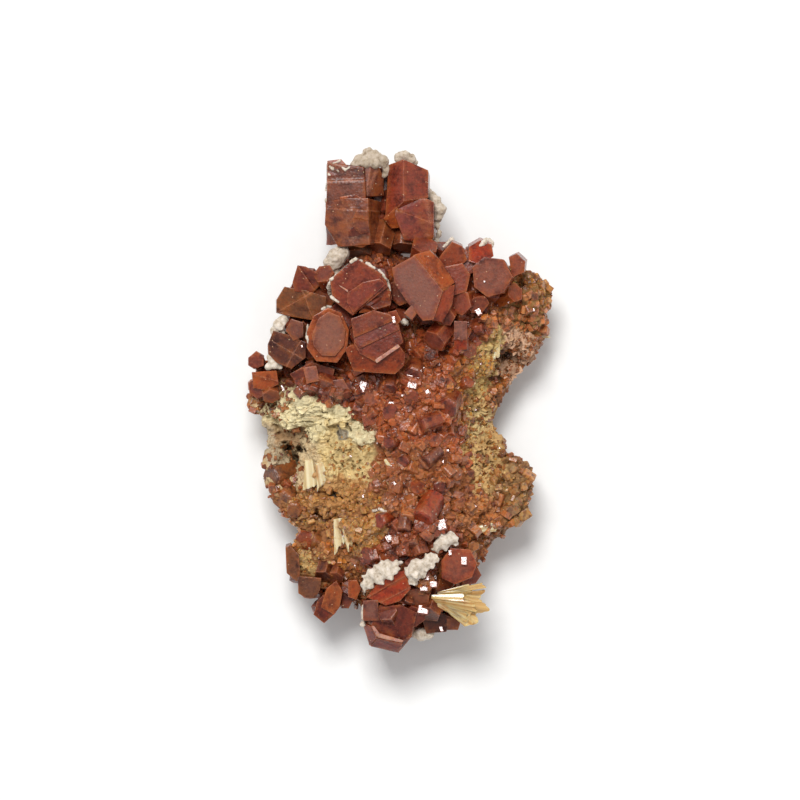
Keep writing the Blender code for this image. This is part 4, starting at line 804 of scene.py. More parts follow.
def rock():
    """Altered gangue rock: earthy, porous and matt, with limonite stains, pale gritty patches and painted shade in its
    hollows and pores.
    """
    material, tree, shader = new_material("Ochre gangue rock, weathered")
    place = add(tree, "TexCoord").outputs["Object"]
    tint = add(tree, "Attribute", attribute_name="tint").outputs["Color"]
    depth = add(tree, "Attribute", attribute_name="depth").outputs["Fac"]
    grit = add(tree, "TexVoronoi", {"Vector": place, "Scale": per(0.5)})
    speckle = add(tree, "ValToRGB", {"Fac": grit.outputs["Color"]}, [(0.0, "#c8c2ba"), (1.0, "#ffffff")])
    body = blend(tree, 0.7, tint, speckle.outputs["Color"], "MULTIPLY")
    stain = add(tree, "TexNoise", {"Vector": place, "Scale": per(1.6), "Detail": 6.0, "Roughness": 0.65})
    stained = add(tree, "MapRange", {"Value": stain.outputs["Fac"], "From Min": 0.55, "From Max": 0.7, "To Max": 0.45})
    body = blend(tree, stained.outputs["Result"], body, linear("#b07a35"))
    bare = add(tree, "MapRange", {"Value": stain.outputs["Fac"], "From Min": 0.42, "From Max": 0.3, "To Max": 0.3})
    body = blend(tree, bare.outputs["Result"], body, linear("#7a6248"))
    # Painted shade: darkens the hollows, pores and low grains by the stored depth.
    body = blend(tree, depth, body, linear("#1d130c"))
    tree.links.new(body, shader.inputs["Base Color"])
    fine = add(tree, "TexNoise", {"Vector": place, "Scale": per(0.25), "Detail": 4.0, "Roughness": 0.7})
    relief = add(tree, "Bump", {"Height": fine.outputs["Fac"], "Strength": 0.7, "Distance": 0.15 * MM})
    tree.links.new(relief.outputs["Normal"], shader.inputs["Normal"])
    shader.inputs["Roughness"].default_value = 0.75
    shader.inputs["Specular IOR Level"].default_value = 0.35
    return material


def white_crust():
    """Chalky white mineral crust, porous and matt, with greyer hollows. Lumps that the light falls on brightly are
    greyed by painted shade.
    """
    material, tree, shader = new_material("White crust, chalky")
    place = add(tree, "TexCoord").outputs["Object"]
    fine_pattern = add(tree, "TexNoise", {"Vector": place, "Scale": per(0.7), "Detail": 5.0, "Roughness": 0.6})
    colour = add(
        tree,
        "ValToRGB",
        {"Fac": fine_pattern.outputs["Fac"]},
        [(0.3, "#9a8670"), (0.46, "#c9bba8"), (0.66, "#e2d6c8")],
    )
    # Painted shade greys whole lumps by their stored amount.
    grime = add(tree, "Attribute", attribute_name="grime").outputs["Fac"]
    body = blend(tree, grime, colour.outputs["Color"], linear("#dad4cc"), "MULTIPLY")
    tree.links.new(body, shader.inputs["Base Color"])
    relief = add(tree, "Bump", {"Height": fine_pattern.outputs["Fac"], "Strength": 0.5, "Distance": 0.15 * MM})
    tree.links.new(relief.outputs["Normal"], shader.inputs["Normal"])
    shader.inputs["Roughness"].default_value = 0.85
    shader.inputs["Subsurface Weight"].default_value = 0.3
    shader.inputs["Subsurface Radius"].default_value = (1.0, 0.9, 0.75)
    shader.inputs["Subsurface Scale"].default_value = 0.5 * MM
    return material


def barite(name, dark, middle, pale):
    """Bladed barite: translucent, with a glassy lustre, streaked along the blades and stained in patches."""
    material, tree, shader = new_material(name)
    place = add(tree, "TexCoord").outputs["Object"]
    streak = add(tree, "Attribute", attribute_name="streak").outputs["Fac"]
    lines = add(tree, "TexNoise", {"W": streak, "Scale": 1.6, "Detail": 3.0}, noise_dimensions="1D")
    colour = add(
        tree,
        "ValToRGB",
        {"Fac": lines.outputs["Fac"]},
        [(0.3, dark), (0.46, middle), (0.64, pale)],
    )
    stain = add(tree, "TexNoise", {"Vector": place, "Scale": per(1.8), "Detail": 3.0})
    stained = add(tree, "MapRange", {"Value": stain.outputs["Fac"], "From Min": 0.55, "From Max": 0.7, "To Max": 0.6})
    body = blend(tree, stained.outputs["Result"], colour.outputs["Color"], linear("#a8692a"))
    tree.links.new(body, shader.inputs["Base Color"])
    shader.inputs["Roughness"].default_value = 0.22
    shader.inputs["IOR"].default_value = 1.64
    shader.inputs["Subsurface Weight"].default_value = 0.6
    shader.inputs["Subsurface Radius"].default_value = (1.0, 0.8, 0.5)
    shader.inputs["Subsurface Scale"].default_value = 1.0 * MM
    return material


def floor_paint():
    """Matt pale card under the specimen."""
    material, tree, shader = new_material("Pale card, matt")
    place = add(tree, "TexCoord").outputs["Object"]
    fibre = add(tree, "TexNoise", {"Vector": place, "Scale": per(3.0), "Detail": 2.0})
    colour = add(tree, "ValToRGB", {"Fac": fibre.outputs["Fac"]}, [(0.0, "#eeeeec"), (1.0, "#f3f3f1")])
    tree.links.new(colour.outputs["Color"], shader.inputs["Base Color"])
    shader.inputs["Roughness"].default_value = 0.9
    return material


# ---------------------------------------------------------------- modelling helpers
def deselect_all():
    for obj in bpy.context.selected_objects:
        obj.select_set(False)


def take(obj):
    """Makes obj the only selected object, and the active one."""
    deselect_all()
    obj.select_set(True)
    bpy.context.view_layer.objects.active = obj


def choose(obj, kind, wanted):
    """Selects, in edit mode, those vertices, edges or faces of obj that wanted says yes to."""
    bpy.ops.mesh.select_mode(type=kind)
    bpy.ops.mesh.select_all(action="DESELECT")
    draft = bmesh.from_edit_mesh(obj.data)
    found = 0
    for item in {"VERT": draft.verts, "EDGE": draft.edges, "FACE": draft.faces}[kind]:
        if wanted(item):
            item.select_set(True)
            found += 1
    draft.select_flush_mode()
    bmesh.update_edit_mesh(obj.data)
    return found


def apply_all(obj):
    take(obj)
    for modifier in list(obj.modifiers):
        bpy.ops.object.modifier_apply(modifier=modifier.name)


def displace(obj, kind, size, strength, group=""):
    """Adds relief of that feature size and height, both in millimetres."""
    texture = bpy.data.textures.new(f"{obj.name} {kind} {size}", kind)
    texture.noise_scale = size * MM
    modifier = obj.modifiers.new("Displace", "DISPLACE")
    modifier.texture = texture
    modifier.texture_coords = "LOCAL"
    modifier.strength = strength * MM
    modifier.mid_level = 0.5
    modifier.vertex_group = group


def remesh(obj, voxel):
    modifier = obj.modifiers.new("Remesh", "REMESH")
    modifier.mode = "VOXEL"
    modifier.voxel_size = voxel * MM
    apply_all(obj)


def join(objects):
    take(objects[0])
    for obj in objects[1:]:
        obj.select_set(True)
    bpy.ops.object.join()
    return objects[0]


def paint_points(mesh, tint=None, **values):
    """Stores colours and numbers on the points of a mesh, one for all of them or one each."""
    count = len(mesh.vertices)
    if tint is not None:
        layer = mesh.attributes.get("tint") or mesh.attributes.new("tint", "FLOAT_COLOR", "POINT")
        layer.data.foreach_set("color", np.broadcast_to(np.asarray(tint, np.float32), (count, 4)).ravel())
    for name, value in values.items():
        layer = mesh.attributes.get(name) or mesh.attributes.new(name, "FLOAT", "POINT")
        layer.data.foreach_set("value", np.broadcast_to(np.asarray(value, np.float32), (count,)).ravel())


def places_of(mesh):
    co = np.zeros(len(mesh.vertices) * 3, np.float32)
    mesh.vertices.foreach_get("co", co)
    return co.reshape(-1, 3).astype(float)


def finish_piece(obj, name, material, nodes=()):
    obj.name = name
    obj.data.name = name
    obj.data.materials.clear()
    obj.data.materials.append(material)
    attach(obj, "root")
    if nodes:
        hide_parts(*nodes)
    return obj


def copy_of_node(node):
    """A copy of a solid with its loose triangles merged."""
    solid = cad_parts[node]
    copy = bpy.data.objects.new(node + "_copy", solid.data.copy())
    bpy.context.scene.collection.objects.link(copy)
    take(copy)
    bpy.ops.object.mode_set(mode="EDIT")
    bpy.ops.mesh.select_all(action="SELECT")
    bpy.ops.mesh.remove_doubles(threshold=0.001 * MM)
    bpy.ops.object.mode_set(mode="OBJECT")
    return copy


def surface_of(*objects):
    """The surfaces of these objects as one tree, for finding what lies below a point."""
    points, faces = [], []
    for obj in objects:
        start = len(points)
        points += [vertex.co.copy() for vertex in obj.data.vertices]
        faces += [[start + corner for corner in polygon.vertices] for polygon in obj.data.polygons]
    return BVHTree.FromPolygons(points, faces)


def below(surface, x, y):
    """Place and normal of the surface's uppermost point at (x, y) in millimetres, or None."""
    place, normal, _, _ = surface.ray_cast(Vector((x * MM, y * MM, 0.1)), -UP)
    return None if place is None else (place, normal)


def highest(x, y, *surfaces):
    """What lies uppermost at (x, y) in millimetres on any of the surfaces, or None."""
    found = [hit for hit in (below(surface, x, y) for surface in surfaces) if hit]
    return max(found, key=lambda hit: hit[0].z) if found else None


# ---------------------------------------------------------------- large crystals
def axis_turn(lean, towards):
    turn = Matrix.Rotation(math.radians(towards), 4, "Z")
    return turn @ Matrix.Rotation(math.radians(lean), 4, "Y")


def faces_of(obj):
    """The planes of a convex crystal's faces, as normals and distances, each plane once."""
    found = []
    for face in bmesh.from_edit_mesh(obj.data).faces:
        normal = face.normal.copy()
        if not any(normal.dot(other) > SAME_FACE for other, _ in found):
            found.append((normal, face.calc_center_median().dot(normal)))
    return found


def edge_distance(points, planes):
    """How far each point of a crystal's surface lies from the nearest edge, in millimetres."""
    normals = np.array([normal for normal, _ in planes])
    offsets = np.array([offset for _, offset in planes])
    return np.sort(np.abs(offsets - points @ normals.T), axis=1)[:, 1] / MM


def hull_of(corners):
    """A convex crystal with these corners, left in edit mode."""
    bpy.ops.mesh.primitive_circle_add(vertices=len(corners), radius=MM)
    obj = bpy.context.object
    bpy.ops.object.mode_set(mode="EDIT")
    draft = bmesh.from_edit_mesh(obj.data)
    for vertex, corner in zip(draft.verts, corners):
        vertex.co = Vector(corner) * MM
    bmesh.update_edit_mesh(obj.data)
    bpy.ops.mesh.select_all(action="SELECT")
    bpy.ops.mesh.convex_hull(face_threshold=math.radians(4), shape_threshold=math.radians(4))
    bpy.ops.mesh.select_all(action="SELECT")
    bpy.ops.mesh.normals_make_consistent(inside=False)
    return obj


def finish_crystal(obj, axis, tint, frost, striated, steps=()):
    """Blunts a crystal's edges, gives it growth steps and stores what its material reads. Only its end, which
    faces along the axis, is frosted and paled by the painted sheen."""
    planes = faces_of(obj)
    choose(obj, "EDGE", lambda edge: edge.calc_face_angle(0) > math.radians(SHARP))
    bpy.ops.mesh.bevel(offset=BEVEL * MM, segments=2, profile=0.6, affect="EDGES")
    for x, y, turn, rise in steps:
        raise_step(obj, Vector((x, y, 0)) * MM, turn, rise)
    subdivide_long(obj, FACET)
    bpy.ops.object.mode_set(mode="OBJECT")
    points = places_of(obj.data)
    edges = edge_distance(points, planes)
    for x, y, turn, _ in steps:
        way = np.array((math.cos(math.radians(turn)), math.sin(math.radians(turn))))
        edges = np.minimum(edges, np.abs((points[:, :2] / MM - (x, y)) @ way - STEP_SLOPE))
    normals = np.array([vertex.normal[:] for vertex in obj.data.vertices])
    ends = np.clip((normals @ np.array(axis) - 0.86) / 0.08, 0, 1)
    along = points[:, 1] / MM if striated else 0
    chance = random.Random(len(planes) + round(planes[0][1] / MM * 100))
    face_tints = np.array([varied(linear(TINTS[tint]), chance, 0.14, 0.16) for _ in planes])
    faces = np.argmin(np.abs([offset - points @ np.array(normal) for normal, offset in planes]), axis=0)
    paint_points(obj.data, face_tints[faces], edge=edges, frost=frost * ends, along=along)
    return obj


def raise_step(obj, place, turn, rise):
    """Cuts the crystal along a line on its face and raises what lies beyond it."""
    way = Vector((math.cos(math.radians(turn)), math.sin(math.radians(turn)), 0))
    slope = STEP_SLOPE * MM
    for distance in (0, slope):
        bpy.ops.mesh.select_all(action="SELECT")
        bpy.ops.mesh.bisect(plane_co=place + way * distance, plane_no=way)
    low = max(vertex.co.z for vertex in bmesh.from_edit_mesh(obj.data).verts) - STEP_DEPTH * MM

    def beyond(vertex):
        return (vertex.co - place).dot(way) > slope * 0.9 and vertex.co.z > low

    if choose(obj, "VERT", beyond):
        bpy.ops.transform.translate(value=(0, 0, rise * MM))


def flattened(corners):
    """The corners, raised or lowered onto the one plane that fits them best."""
    points = np.array(corners, float)
    across = np.c_[points[:, :2], np.ones(len(points))]
    points[:, 2] = across @ np.linalg.lstsq(across, points[:, 2], rcond=None)[0]
    return points.tolist()


def make_block(block, striated):
    """A convex crystal. A striated one's axis lies along Y, and growth lines cross it."""
    back = Vector(block.back)
    corners = [Vector(corner) for corner in (flattened(block.corners) if back.length else block.corners)]
    if back.length:
        corners += [corner + back for corner in corners]
    return finish_crystal(hull_of(corners), UP, block.tint, block.frost, striated, block.steps)


def make_prism(spec, striated):
    """An even hexagonal crystal."""
    corners = []
    for number in range(6):
        angle = math.radians(60 * number + spec.spin)
        for z in (0, -spec.long):
            corners.append(Vector((math.cos(angle) * spec.flat, math.sin(angle), 2 * z / spec.across)))
    turn = axis_turn(spec.lean, spec.towards)
    corners = [Vector(spec.tip) + turn @ (corner * spec.across / 2) for corner in corners]
    return finish_crystal(hull_of(corners), turn @ UP, spec.tint, spec.frost, striated)


def subdivide_long(obj, longest):
    """Cuts the faces into triangles whose sides are no longer than that."""
    bpy.ops.mesh.select_all(action="SELECT")
    bpy.ops.mesh.quads_convert_to_tris()
    for _ in range(6):
        if not choose(obj, "EDGE", lambda edge: edge.calc_length() > longest * MM):
            break
        bpy.ops.mesh.subdivide(number_cuts=1)
        bpy.ops.mesh.select_all(action="SELECT")
        bpy.ops.mesh.quads_convert_to_tris()


def make_filler(node):
    """A crystal mass between the crystals of a cluster: its solid, a little smaller and lower."""
    obj = copy_of_node(node)
    low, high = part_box(node)
    middle, size = (low + high) / 2, high - low
    shares = [1 - 2 * FILLER_INSET * MM / size.x, 1 - 2 * FILLER_INSET * MM / size.y, 1]
    bpy.ops.object.mode_set(mode="EDIT")
    bpy.ops.mesh.select_all(action="SELECT")
    bpy.ops.transform.resize(value=shares, center_override=middle)
    bpy.ops.transform.translate(value=(0, 0, -FILLER_DROP * MM))
    subdivide_long(obj, FILLER_FACET)
    bpy.ops.object.mode_set(mode="OBJECT")
    displace(obj, "CLOUDS", 1.4, 0.7)
    apply_all(obj)
    paint_points(obj.data, linear(TINTS["garnet"]), edge=0.5, frost=0.4, along=0)
    return obj


def make_cluster(name, node, slot, blocks, crystals, material):
    striated = name == "crown"
    made = [make_block(block, striated) for block in blocks]
    made += [make_prism(spec, striated) for spec in crystals]
    made.append(make_filler(node))
    obj = join(made)
    displace(obj, "CLOUDS", 2.4, 0.12)
    apply_all(obj)
    bpy.ops.object.shade_smooth_by_angle(angle=math.radians(16))
    return finish_piece(obj, name + "_cluster", material, [node])


# ---------------------------------------------------------------- small crystals
def small_prism(name, sides, tall, bevel):
    """A small crystal, one across, whose end lies at z = 0, as points, triangles and edge distances."""
    bpy.ops.mesh.primitive_cylinder_add(vertices=sides, radius=0.5, depth=tall, location=(0, 0, -tall / 2))
    obj = bpy.context.object
    bpy.ops.object.transform_apply()
    bpy.ops.object.mode_set(mode="EDIT")
    if bevel:
        choose(obj, "EDGE", lambda edge: max(vertex.co.z for vertex in edge.verts) > -0.01)
        bpy.ops.mesh.bevel(offset=bevel, segments=1, affect="EDGES")
    bpy.ops.mesh.select_all(action="SELECT")
    bpy.ops.mesh.quads_convert_to_tris()
    bpy.ops.object.mode_set(mode="OBJECT")
    points = places_of(obj.data)
    edges = np.full(len(points), 0.4)
    if bevel:
        edges[(points[:, 2] < -0.001) & (points[:, 2] > -0.2)] = 0.03
    if sides == 4:
        points = points @ np.array(Matrix.Rotation(math.radians(45), 3, "Z")) * (math.sqrt(2), math.sqrt(2), 1)
    faces = np.array([polygon.vertices[:] for polygon in obj.data.polygons])
    bpy.data.objects.remove(obj)
    return points, faces, edges


Plant = namedtuple("Plant", "kind place turn size tint frost")


def plant(name, shapes, plants):
    """One mesh of many small crystals, each a turned and stretched copy of one of the shapes."""
    points, faces, tints, frosts, edges = [], [], [], [], []
    start = 0
    for item in plants:
        shape, corners, edge = shapes[item.kind]
        matrix = np.array(item.turn.to_3x3())
        points.append((shape * item.size) @ matrix.T + np.array(item.place))
        faces.append(corners + start)
        tints.append(np.tile(item.tint, (len(shape), 1)))
        frosts.append(np.full(len(shape), item.frost))
        edges.append(edge)
        start += len(shape)
    mesh = bpy.data.meshes.new(name)
    mesh.from_pydata(np.concatenate(points), [], np.concatenate(faces).tolist())
    paint_points(mesh, np.concatenate(tints), frost=np.concatenate(frosts), edge=np.concatenate(edges))
    obj = bpy.data.objects.new(name, mesh)
    bpy.context.scene.collection.objects.link(obj)
    return obj


def varied(colour, chance, spread, accent=0.0):
    """A linear colour, lighter or darker by up to spread, and now and then drawn towards another of the druse's."""
    light = 1 + chance.uniform(-spread, spread)
    other = linear(chance.choice(ACCENTS))
    share = accent * chance.random() ** 2
    return (*(light * (part + (more - part) * share) for part, more in zip(colour[:3], other)), 1.0)


def tilted(normal, chance, lean):
    """A turn whose Z axis stands within lean degrees of the normal, spun at random."""
    turn = UP.rotation_difference(normal).to_matrix().to_4x4()
    turn @= axis_turn(chance.uniform(0, lean), chance.uniform(0, 360))
    return turn @ Matrix.Rotation(chance.uniform(0, math.tau), 4, "Z")


def off_shine(turn):
    """How many degrees a crystal's end is turned off the direction that shines."""
    shine = axis_turn(SHINE_LEAN, SHINE_TOWARDS) @ UP
    return math.degrees((turn @ UP).angle(shine))


def growth_at(x, y, z, on_crust):
    """The growth at a place of the upper side. Bare ones stay off the drusy crust."""
    wander = noise.noise_vector(Vector((x, y, z)) / 2.6) + 0.5 * noise.noise_vector(Vector((x, y, z)) / 0.9)
    x += wander.x * GROWTH_WANDER
    y += wander.y * GROWTH_WANDER
    found = GROWTHS[0]
    for growth in GROWTHS[1:]:
        angle = math.radians(growth.turn)
        dx, dy = x - growth.x, y - growth.y
        across = (dx * math.cos(angle) + dy * math.sin(angle)) / (growth.wide / 2)
        along = (dy * math.cos(angle) - dx * math.sin(angle)) / (growth.high / 2)
        if across * across + along * along < 1 and (growth.cover > 0 or not on_crust):
            found = growth
    return found


def make_druse_bed(material):
    """The crust between and under its crystals."""
    obj = copy_of_node("drusy_crust")
    remesh(obj, 0.4)
    displace(obj, "CLOUDS", 1.3, 0.7)
    displace(obj, "CLOUDS", 0.5, 0.45)
    apply_all(obj)
    points = places_of(obj.data)
    # Painted shade darkens the bed between the crystals.
    tints = np.array([linear(growth_at(*(point / MM), True).tint) for point in points]) * BED_SHADE
    paint_points(obj.data, tints, frost=0.3, edge=0.5)
    return finish_piece(obj, "drusy_bed", material, ["drusy_crust"])


def make_small_crystals(bed, rock_piece, clusters, material):
    """The crystals of the crust and of the rock: those that stand out, then ever smaller ones between them."""
    chance = random.Random("druse")
    shapes = [
        small_prism("long", 6, 1.1, 0.07),
        small_prism("plate", 4, 0.8, 0.06),
        small_prism("plain", 6, 1.2, 0),
        small_prism("wedge", 5, 1.0, 0),
    ]
    solid = surface_of(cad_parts["drusy_crust"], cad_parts["matrix"])
    ground = surface_of(bed, rock_piece)
    crust = surface_of(bed)
    cover = surface_of(*clusters)
    large, small, shining = [], [], []
    taken = []
    for bud in BUDS:
        found = below(solid, bud.x, bud.y)
        turn = axis_turn(bud.lean, bud.towards) @ Matrix.Rotation(math.radians(bud.spin), 4, "Z")
        size = np.array((1, chance.uniform(0.8, 1), 1)) * bud.across * MM
        tint = varied(linear(TINTS[bud.tint]), chance, 0.1)
        large.append(Plant(0, found[0] + UP * 0.3 * MM, turn, size, tint, 0.25))
        taken.append((bud.x, bud.y, bud.across * 0.8))
    for x, y, wide, high, angle in SHINING:
        found = highest(x, y, ground, cover)
        if found is None:
            print("nothing under the shining crystal at", x, y)
            continue
        turn = axis_turn(SHINE_LEAN + chance.uniform(-1.5, 1.5), SHINE_TOWARDS)
        turn @= Matrix.Rotation(math.radians(angle - SHINE_TOWARDS), 4, "Z")
        size = np.array((wide, high, (wide + high) / 2)) * MM
        shining.append(Plant(1, found[0] + UP * 0.35 * MM, turn, size, linear(TINTS["rose"]), 0.0))
        taken.append((x, y, (wide + high) / 2))
    low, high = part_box("matrix")
    for across, tries in SIZES:
        others = np.array(taken)
        fresh = []
        for number in range(tries):
            # Each try draws from its own numbers, so that one that fails leaves the others as they are.
            chance = random.Random(f"crystal {across} {number}")
            x = chance.uniform(low.x, high.x) / MM
            y = chance.uniform(low.y - 3 * MM, high.y) / MM
            size = across * chance.uniform(0.8, 1.25)
            turn_share = chance.random()
            rest = [chance.random() for _ in range(6)]
            if (np.hypot(others[:, 0] - x, others[:, 1] - y) < ROOM * (others[:, 2] + size)).any():
                continue
            found = below(ground, x, y)
            if found is None or found[0].z < 4 * MM:
                continue
            place, normal = found
            growth = growth_at(x, y, place.z / MM, (crust.ray_cast(place + UP * MM, -UP)[3] or 9) < 2 * MM)
            if across > growth.largest or rest[0] > growth.cover:
                continue
            if cover.ray_cast(place + UP * 0.1 * MM, UP)[0] is not None and rest[1] > 0.5:
                continue
            fresh.append((x, y, size))
            others = np.vstack((others, fresh[-1]))
            lean = 8 + 62 * turn_share
            turn = UP.rotation_difference((normal + UP * 0.5).normalized()).to_matrix().to_4x4()
            turn @= axis_turn(lean, 360 * rest[2])
            if off_shine(turn) < 9 and rest[3] > 0.1:
                turn = turn @ axis_turn(25, 0)
            turn @= Matrix.Rotation(rest[4] * math.tau, 4, "Z")
            tint = varied(linear(growth.tint), chance, 0.2, 0.45)
            stretch = np.array((1, 0.65 + 0.35 * rest[5], chance.uniform(0.6, 1.2))) * size * MM
            rise = size * chance.uniform(0.02, 0.3) * MM
            item = Plant(chance.choice((0, 1)), place + normal * rise, turn, stretch, tint, chance.uniform(0, 0.5))
            if size < SMALL and chance.random() < SPARKLES:
                turn = axis_turn(SHINE_LEAN + chance.uniform(-3, 3), SHINE_TOWARDS + chance.uniform(-4, 4))
                turn @= Matrix.Rotation(rest[4] * math.tau, 4, "Z")
                shining.append(item._replace(kind=1, place=place + UP * size * 0.4 * MM, turn=turn, size=stretch * 0.55))
            elif size > SMALL:
                large.append(item)
            else:
                small.append(item._replace(kind=chance.choice((2, 2, 3))))
        taken += fresh
    for polygon in rock_piece.data.polygons:
        if polygon.normal.z > 0.45 or not 3 * MM < polygon.center.z < 13 * MM:
            continue
        chance = random.Random(f"side {polygon.index}")
        if chance.random() < SIDE_GRAINS * polygon.area / MM**2:
            turn = tilted(polygon.normal, chance, 60)
            tint = varied(linear("#96683c"), chance, 0.25, 0.2)
            size = chance.uniform(0.5, 1.1) * MM
            small.append(Plant(2, polygon.center, turn, np.array((1, 0.8, 1)) * size, tint, 0.3))
    print("small crystals", len(large), len(small))
    finish_piece(plant("druse_crystals", shapes, large), "druse_crystals", material)
    finish_piece(plant("bright_ends", shapes, shining), "bright_ends", bright_ends())
    half = len(small) // 2
    finish_piece(plant("grains_a", shapes, small[:half]), "drusy_grains_a", material)
    finish_piece(plant("grains_b", shapes, small[half:]), "drusy_grains_b", material)


# ---------------------------------------------------------------- rock
def oval_share(x, y, oval, fade):
    """How far points are inside an oval: 1 well inside it, and 0 outside it."""
    angle = math.radians(oval.turn)
    dx, dy = x - oval.x, y - oval.y
    across = (dx * math.cos(angle) + dy * math.sin(angle)) / (oval.wide / 2)
    along = (dy * math.cos(angle) - dx * math.sin(angle)) / (oval.high / 2)
    share = np.clip((1 + fade / 2 - np.hypot(across, along)) / fade, 0, 1)
    return share * share * (3 - 2 * share)


def make_rock(material):
    obj = copy_of_node("matrix")
    remesh(obj, 0.5)
    displace(obj, "CLOUDS", 2.4, 0.8)
    apply_all(obj)
    solid = surface_of(*[node for name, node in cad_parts.items() if name != "matrix"])
    bpy.ops.object.mode_set(mode="EDIT")

    def bare(face):
        """True on the upper side where nothing else covers the rock."""
        middle = face.calc_center_median()
        return face.normal.z > 0.1 and middle.z > 7 * MM and solid.ray_cast(middle + UP * 0.2 * MM, UP)[0] is None

    choose(obj, "FACE", bare)
    bpy.ops.mesh.subdivide(number_cuts=2)
    bpy.ops.object.mode_set(mode="OBJECT")
    carve(obj)
    for vertex in obj.data.vertices:
        vertex.co.z = max(vertex.co.z, 0)
    return finish_piece(obj, "matrix_rock", material, ["matrix"])


def carve(obj):
    """Colours the rock's patches, gives them their relief, hollows and pores, and paints shade into the hollows and low
    places.
    """
    chance = random.Random("pores")
    holes = list(HOLLOWS)
    for x, y, half_wide, half_high, count in PORE_FIELDS:
        for _ in range(count):
            radius = chance.uniform(*PORE_RADII)
            x_hole, y_hole = x + chance.gauss(0, half_wide / 2), y + chance.gauss(0, half_high / 2)
            holes.append(Hollow(x_hole, y_hole, radius, radius * 2.6))
    obj.data.update()
    points = places_of(obj.data)
    normals = np.array([vertex.normal[:] for vertex in obj.data.vertices])
    where = points / MM
    wander = np.array([(noise.noise_vector(Vector(p) / 2.6) + 0.5 * noise.noise_vector(Vector(p) / 0.8))[:] for p in where])
    x = where[:, 0] + wander[:, 0] * PATCH_WARP
    y = where[:, 1] + wander[:, 1] * PATCH_WARP
    high = np.clip((where[:, 2] - 4) / 5, 0, 1)
    back, base = np.array(linear(BACK_TINT)), np.array(linear(ROCK_TINT))
    tints = back + (base - back) * high[:, None]
    fibre = np.zeros(len(points))
    grit = np.ones(len(points))
    for patch in PATCHES:
        share = oval_share(x, y, patch, PATCH_EDGE) * patch.strength * high
        tints += (np.array(linear(patch.tint)) - tints) * share[:, None]
        fibre += (patch.fibre - fibre) * share
        grit += (patch.grit - grit) * share
    rise = np.zeros(len(points))
    for swell in SWELLS:
        rise += swell.rise * oval_share(x, y, swell, 0.35) * high
    coarse = np.array([noise.fractal(Vector(p) / 1.7, 0.7, 2.1, 4) for p in where])
    fibres = np.array([abs(noise.noise(Vector((p[0] * 0.8 + p[1] * 0.5, p[1] * 2.4, p[2])))) for p in where])
    fine = np.array([noise.noise(Vector(p) / 0.28) for p in where])
    cells = np.array([noise.voronoi(Vector(p) / 0.75)[0][0] for p in where])
    rise += 0.5 * coarse + fibre * (0.7 * fibres - 0.2) + grit * (0.45 - 0.6 * cells) + 0.12 * fine
    points += normals * rise[:, None] * MM * (0.35 + 0.65 * high[:, None])
    # Painted shade: darker where the grains and swells leave the surface low.
    depth = np.clip(-1.0 * (coarse * 0.3 - grit * (cells - 0.55) * 0.8), 0, 0.5) * high
    upper = where[:, 2] > 8
    for hole in holes:
        off = np.hypot(x - hole.x, y - hole.y) / hole.radius
        near = upper & (off < 1.4)
        sunk = np.clip((1.4 - off[near]) / 0.7, 0, 1)
        sunk = sunk * sunk * (3 - 2 * sunk)
        points[near, 2] -= sunk * hole.depth * MM
        # Painted shade grows towards the bottom of each hole.
        depth[near] = np.maximum(depth[near], sunk**2 * 0.4)
    obj.data.vertices.foreach_set("co", points.astype(np.float32).ravel())
    obj.data.update()
    light = np.clip(1 + 0.25 * fine + 0.35 * fibre * (fibres - 0.3), 0.6, 1.3)
    tints[:, :3] *= light[:, None] * ROCK_GAIN
    paint_points(obj.data, tints, depth=depth)


# ---------------------------------------------------------------- crusts and blades
def beads(rows):
    made = []
    for x, y, z, radius in rows:
        bpy.ops.mesh.primitive_ico_sphere_add(subdivisions=3, radius=radius * MM, location=(x * MM, y * MM, z * MM))
        made.append(bpy.context.object)
    obj = join(made)
    bpy.ops.object.transform_apply()
    return obj


def make_crust(name, rows, material):
    """A lump of crust. The lower ones bristle with short points."""
    chance = random.Random(name)
    rows = list(rows)
    if name.startswith("lower"):
        for x, y, z, radius in list(rows):
            for _ in range(5):
                turn, lift = chance.uniform(0, math.tau), chance.uniform(-0.1, 0.8)
                for step, share in ((0.75, 0.42), (1.05, 0.28), (1.3, 0.17)):
                    far = radius * step
                    spot = (x + far * math.cos(turn), y + far * math.sin(turn), z + far * lift)
                    rows.append((*spot, radius * share))
    obj = beads(rows)
    remesh(obj, BEAD_VOXEL)
    displace(obj, "CLOUDS", 1.0, 0.6)
    displace(obj, "CLOUDS", 0.4, 0.35)
    apply_all(obj)
    remesh(obj, BEAD_VOXEL * 0.8)
    # Stores how far painted shade greys this lump.
    paint_points(obj.data, grime=SHADED_CRUSTS.get(name, 0))
    bpy.ops.object.shade_smooth()
    return finish_piece(obj, "crust_" + name, material, ["white_crust_" + name])


def make_seams(surface, material):
    rows = []
    for seam in SEAMS:
        for (x0, y0, r0), (x1, y1, r1) in zip(seam, seam[1:]):
            count = max(2, round(math.hypot(x1 - x0, y1 - y0) / (0.35 * (r0 + r1))))
            for step in range(count + 1):
                share = step / count
                x, y = x0 + (x1 - x0) * share, y0 + (y1 - y0) * share
                found = below(surface, x, y)
                if found is not None:
                    radius = r0 + (r1 - r0) * share
                    rows.append((x, y, found[0].z / MM + 0.1 * radius, radius))
    obj = beads(rows)
    remesh(obj, SEAM_VOXEL)
    displace(obj, "CLOUDS", 0.9, 0.35)
    displace(obj, "CLOUDS", 0.4, 0.25)
    apply_all(obj)
    bpy.ops.object.shade_smooth()
    return finish_piece(obj, "crust_seams", material)


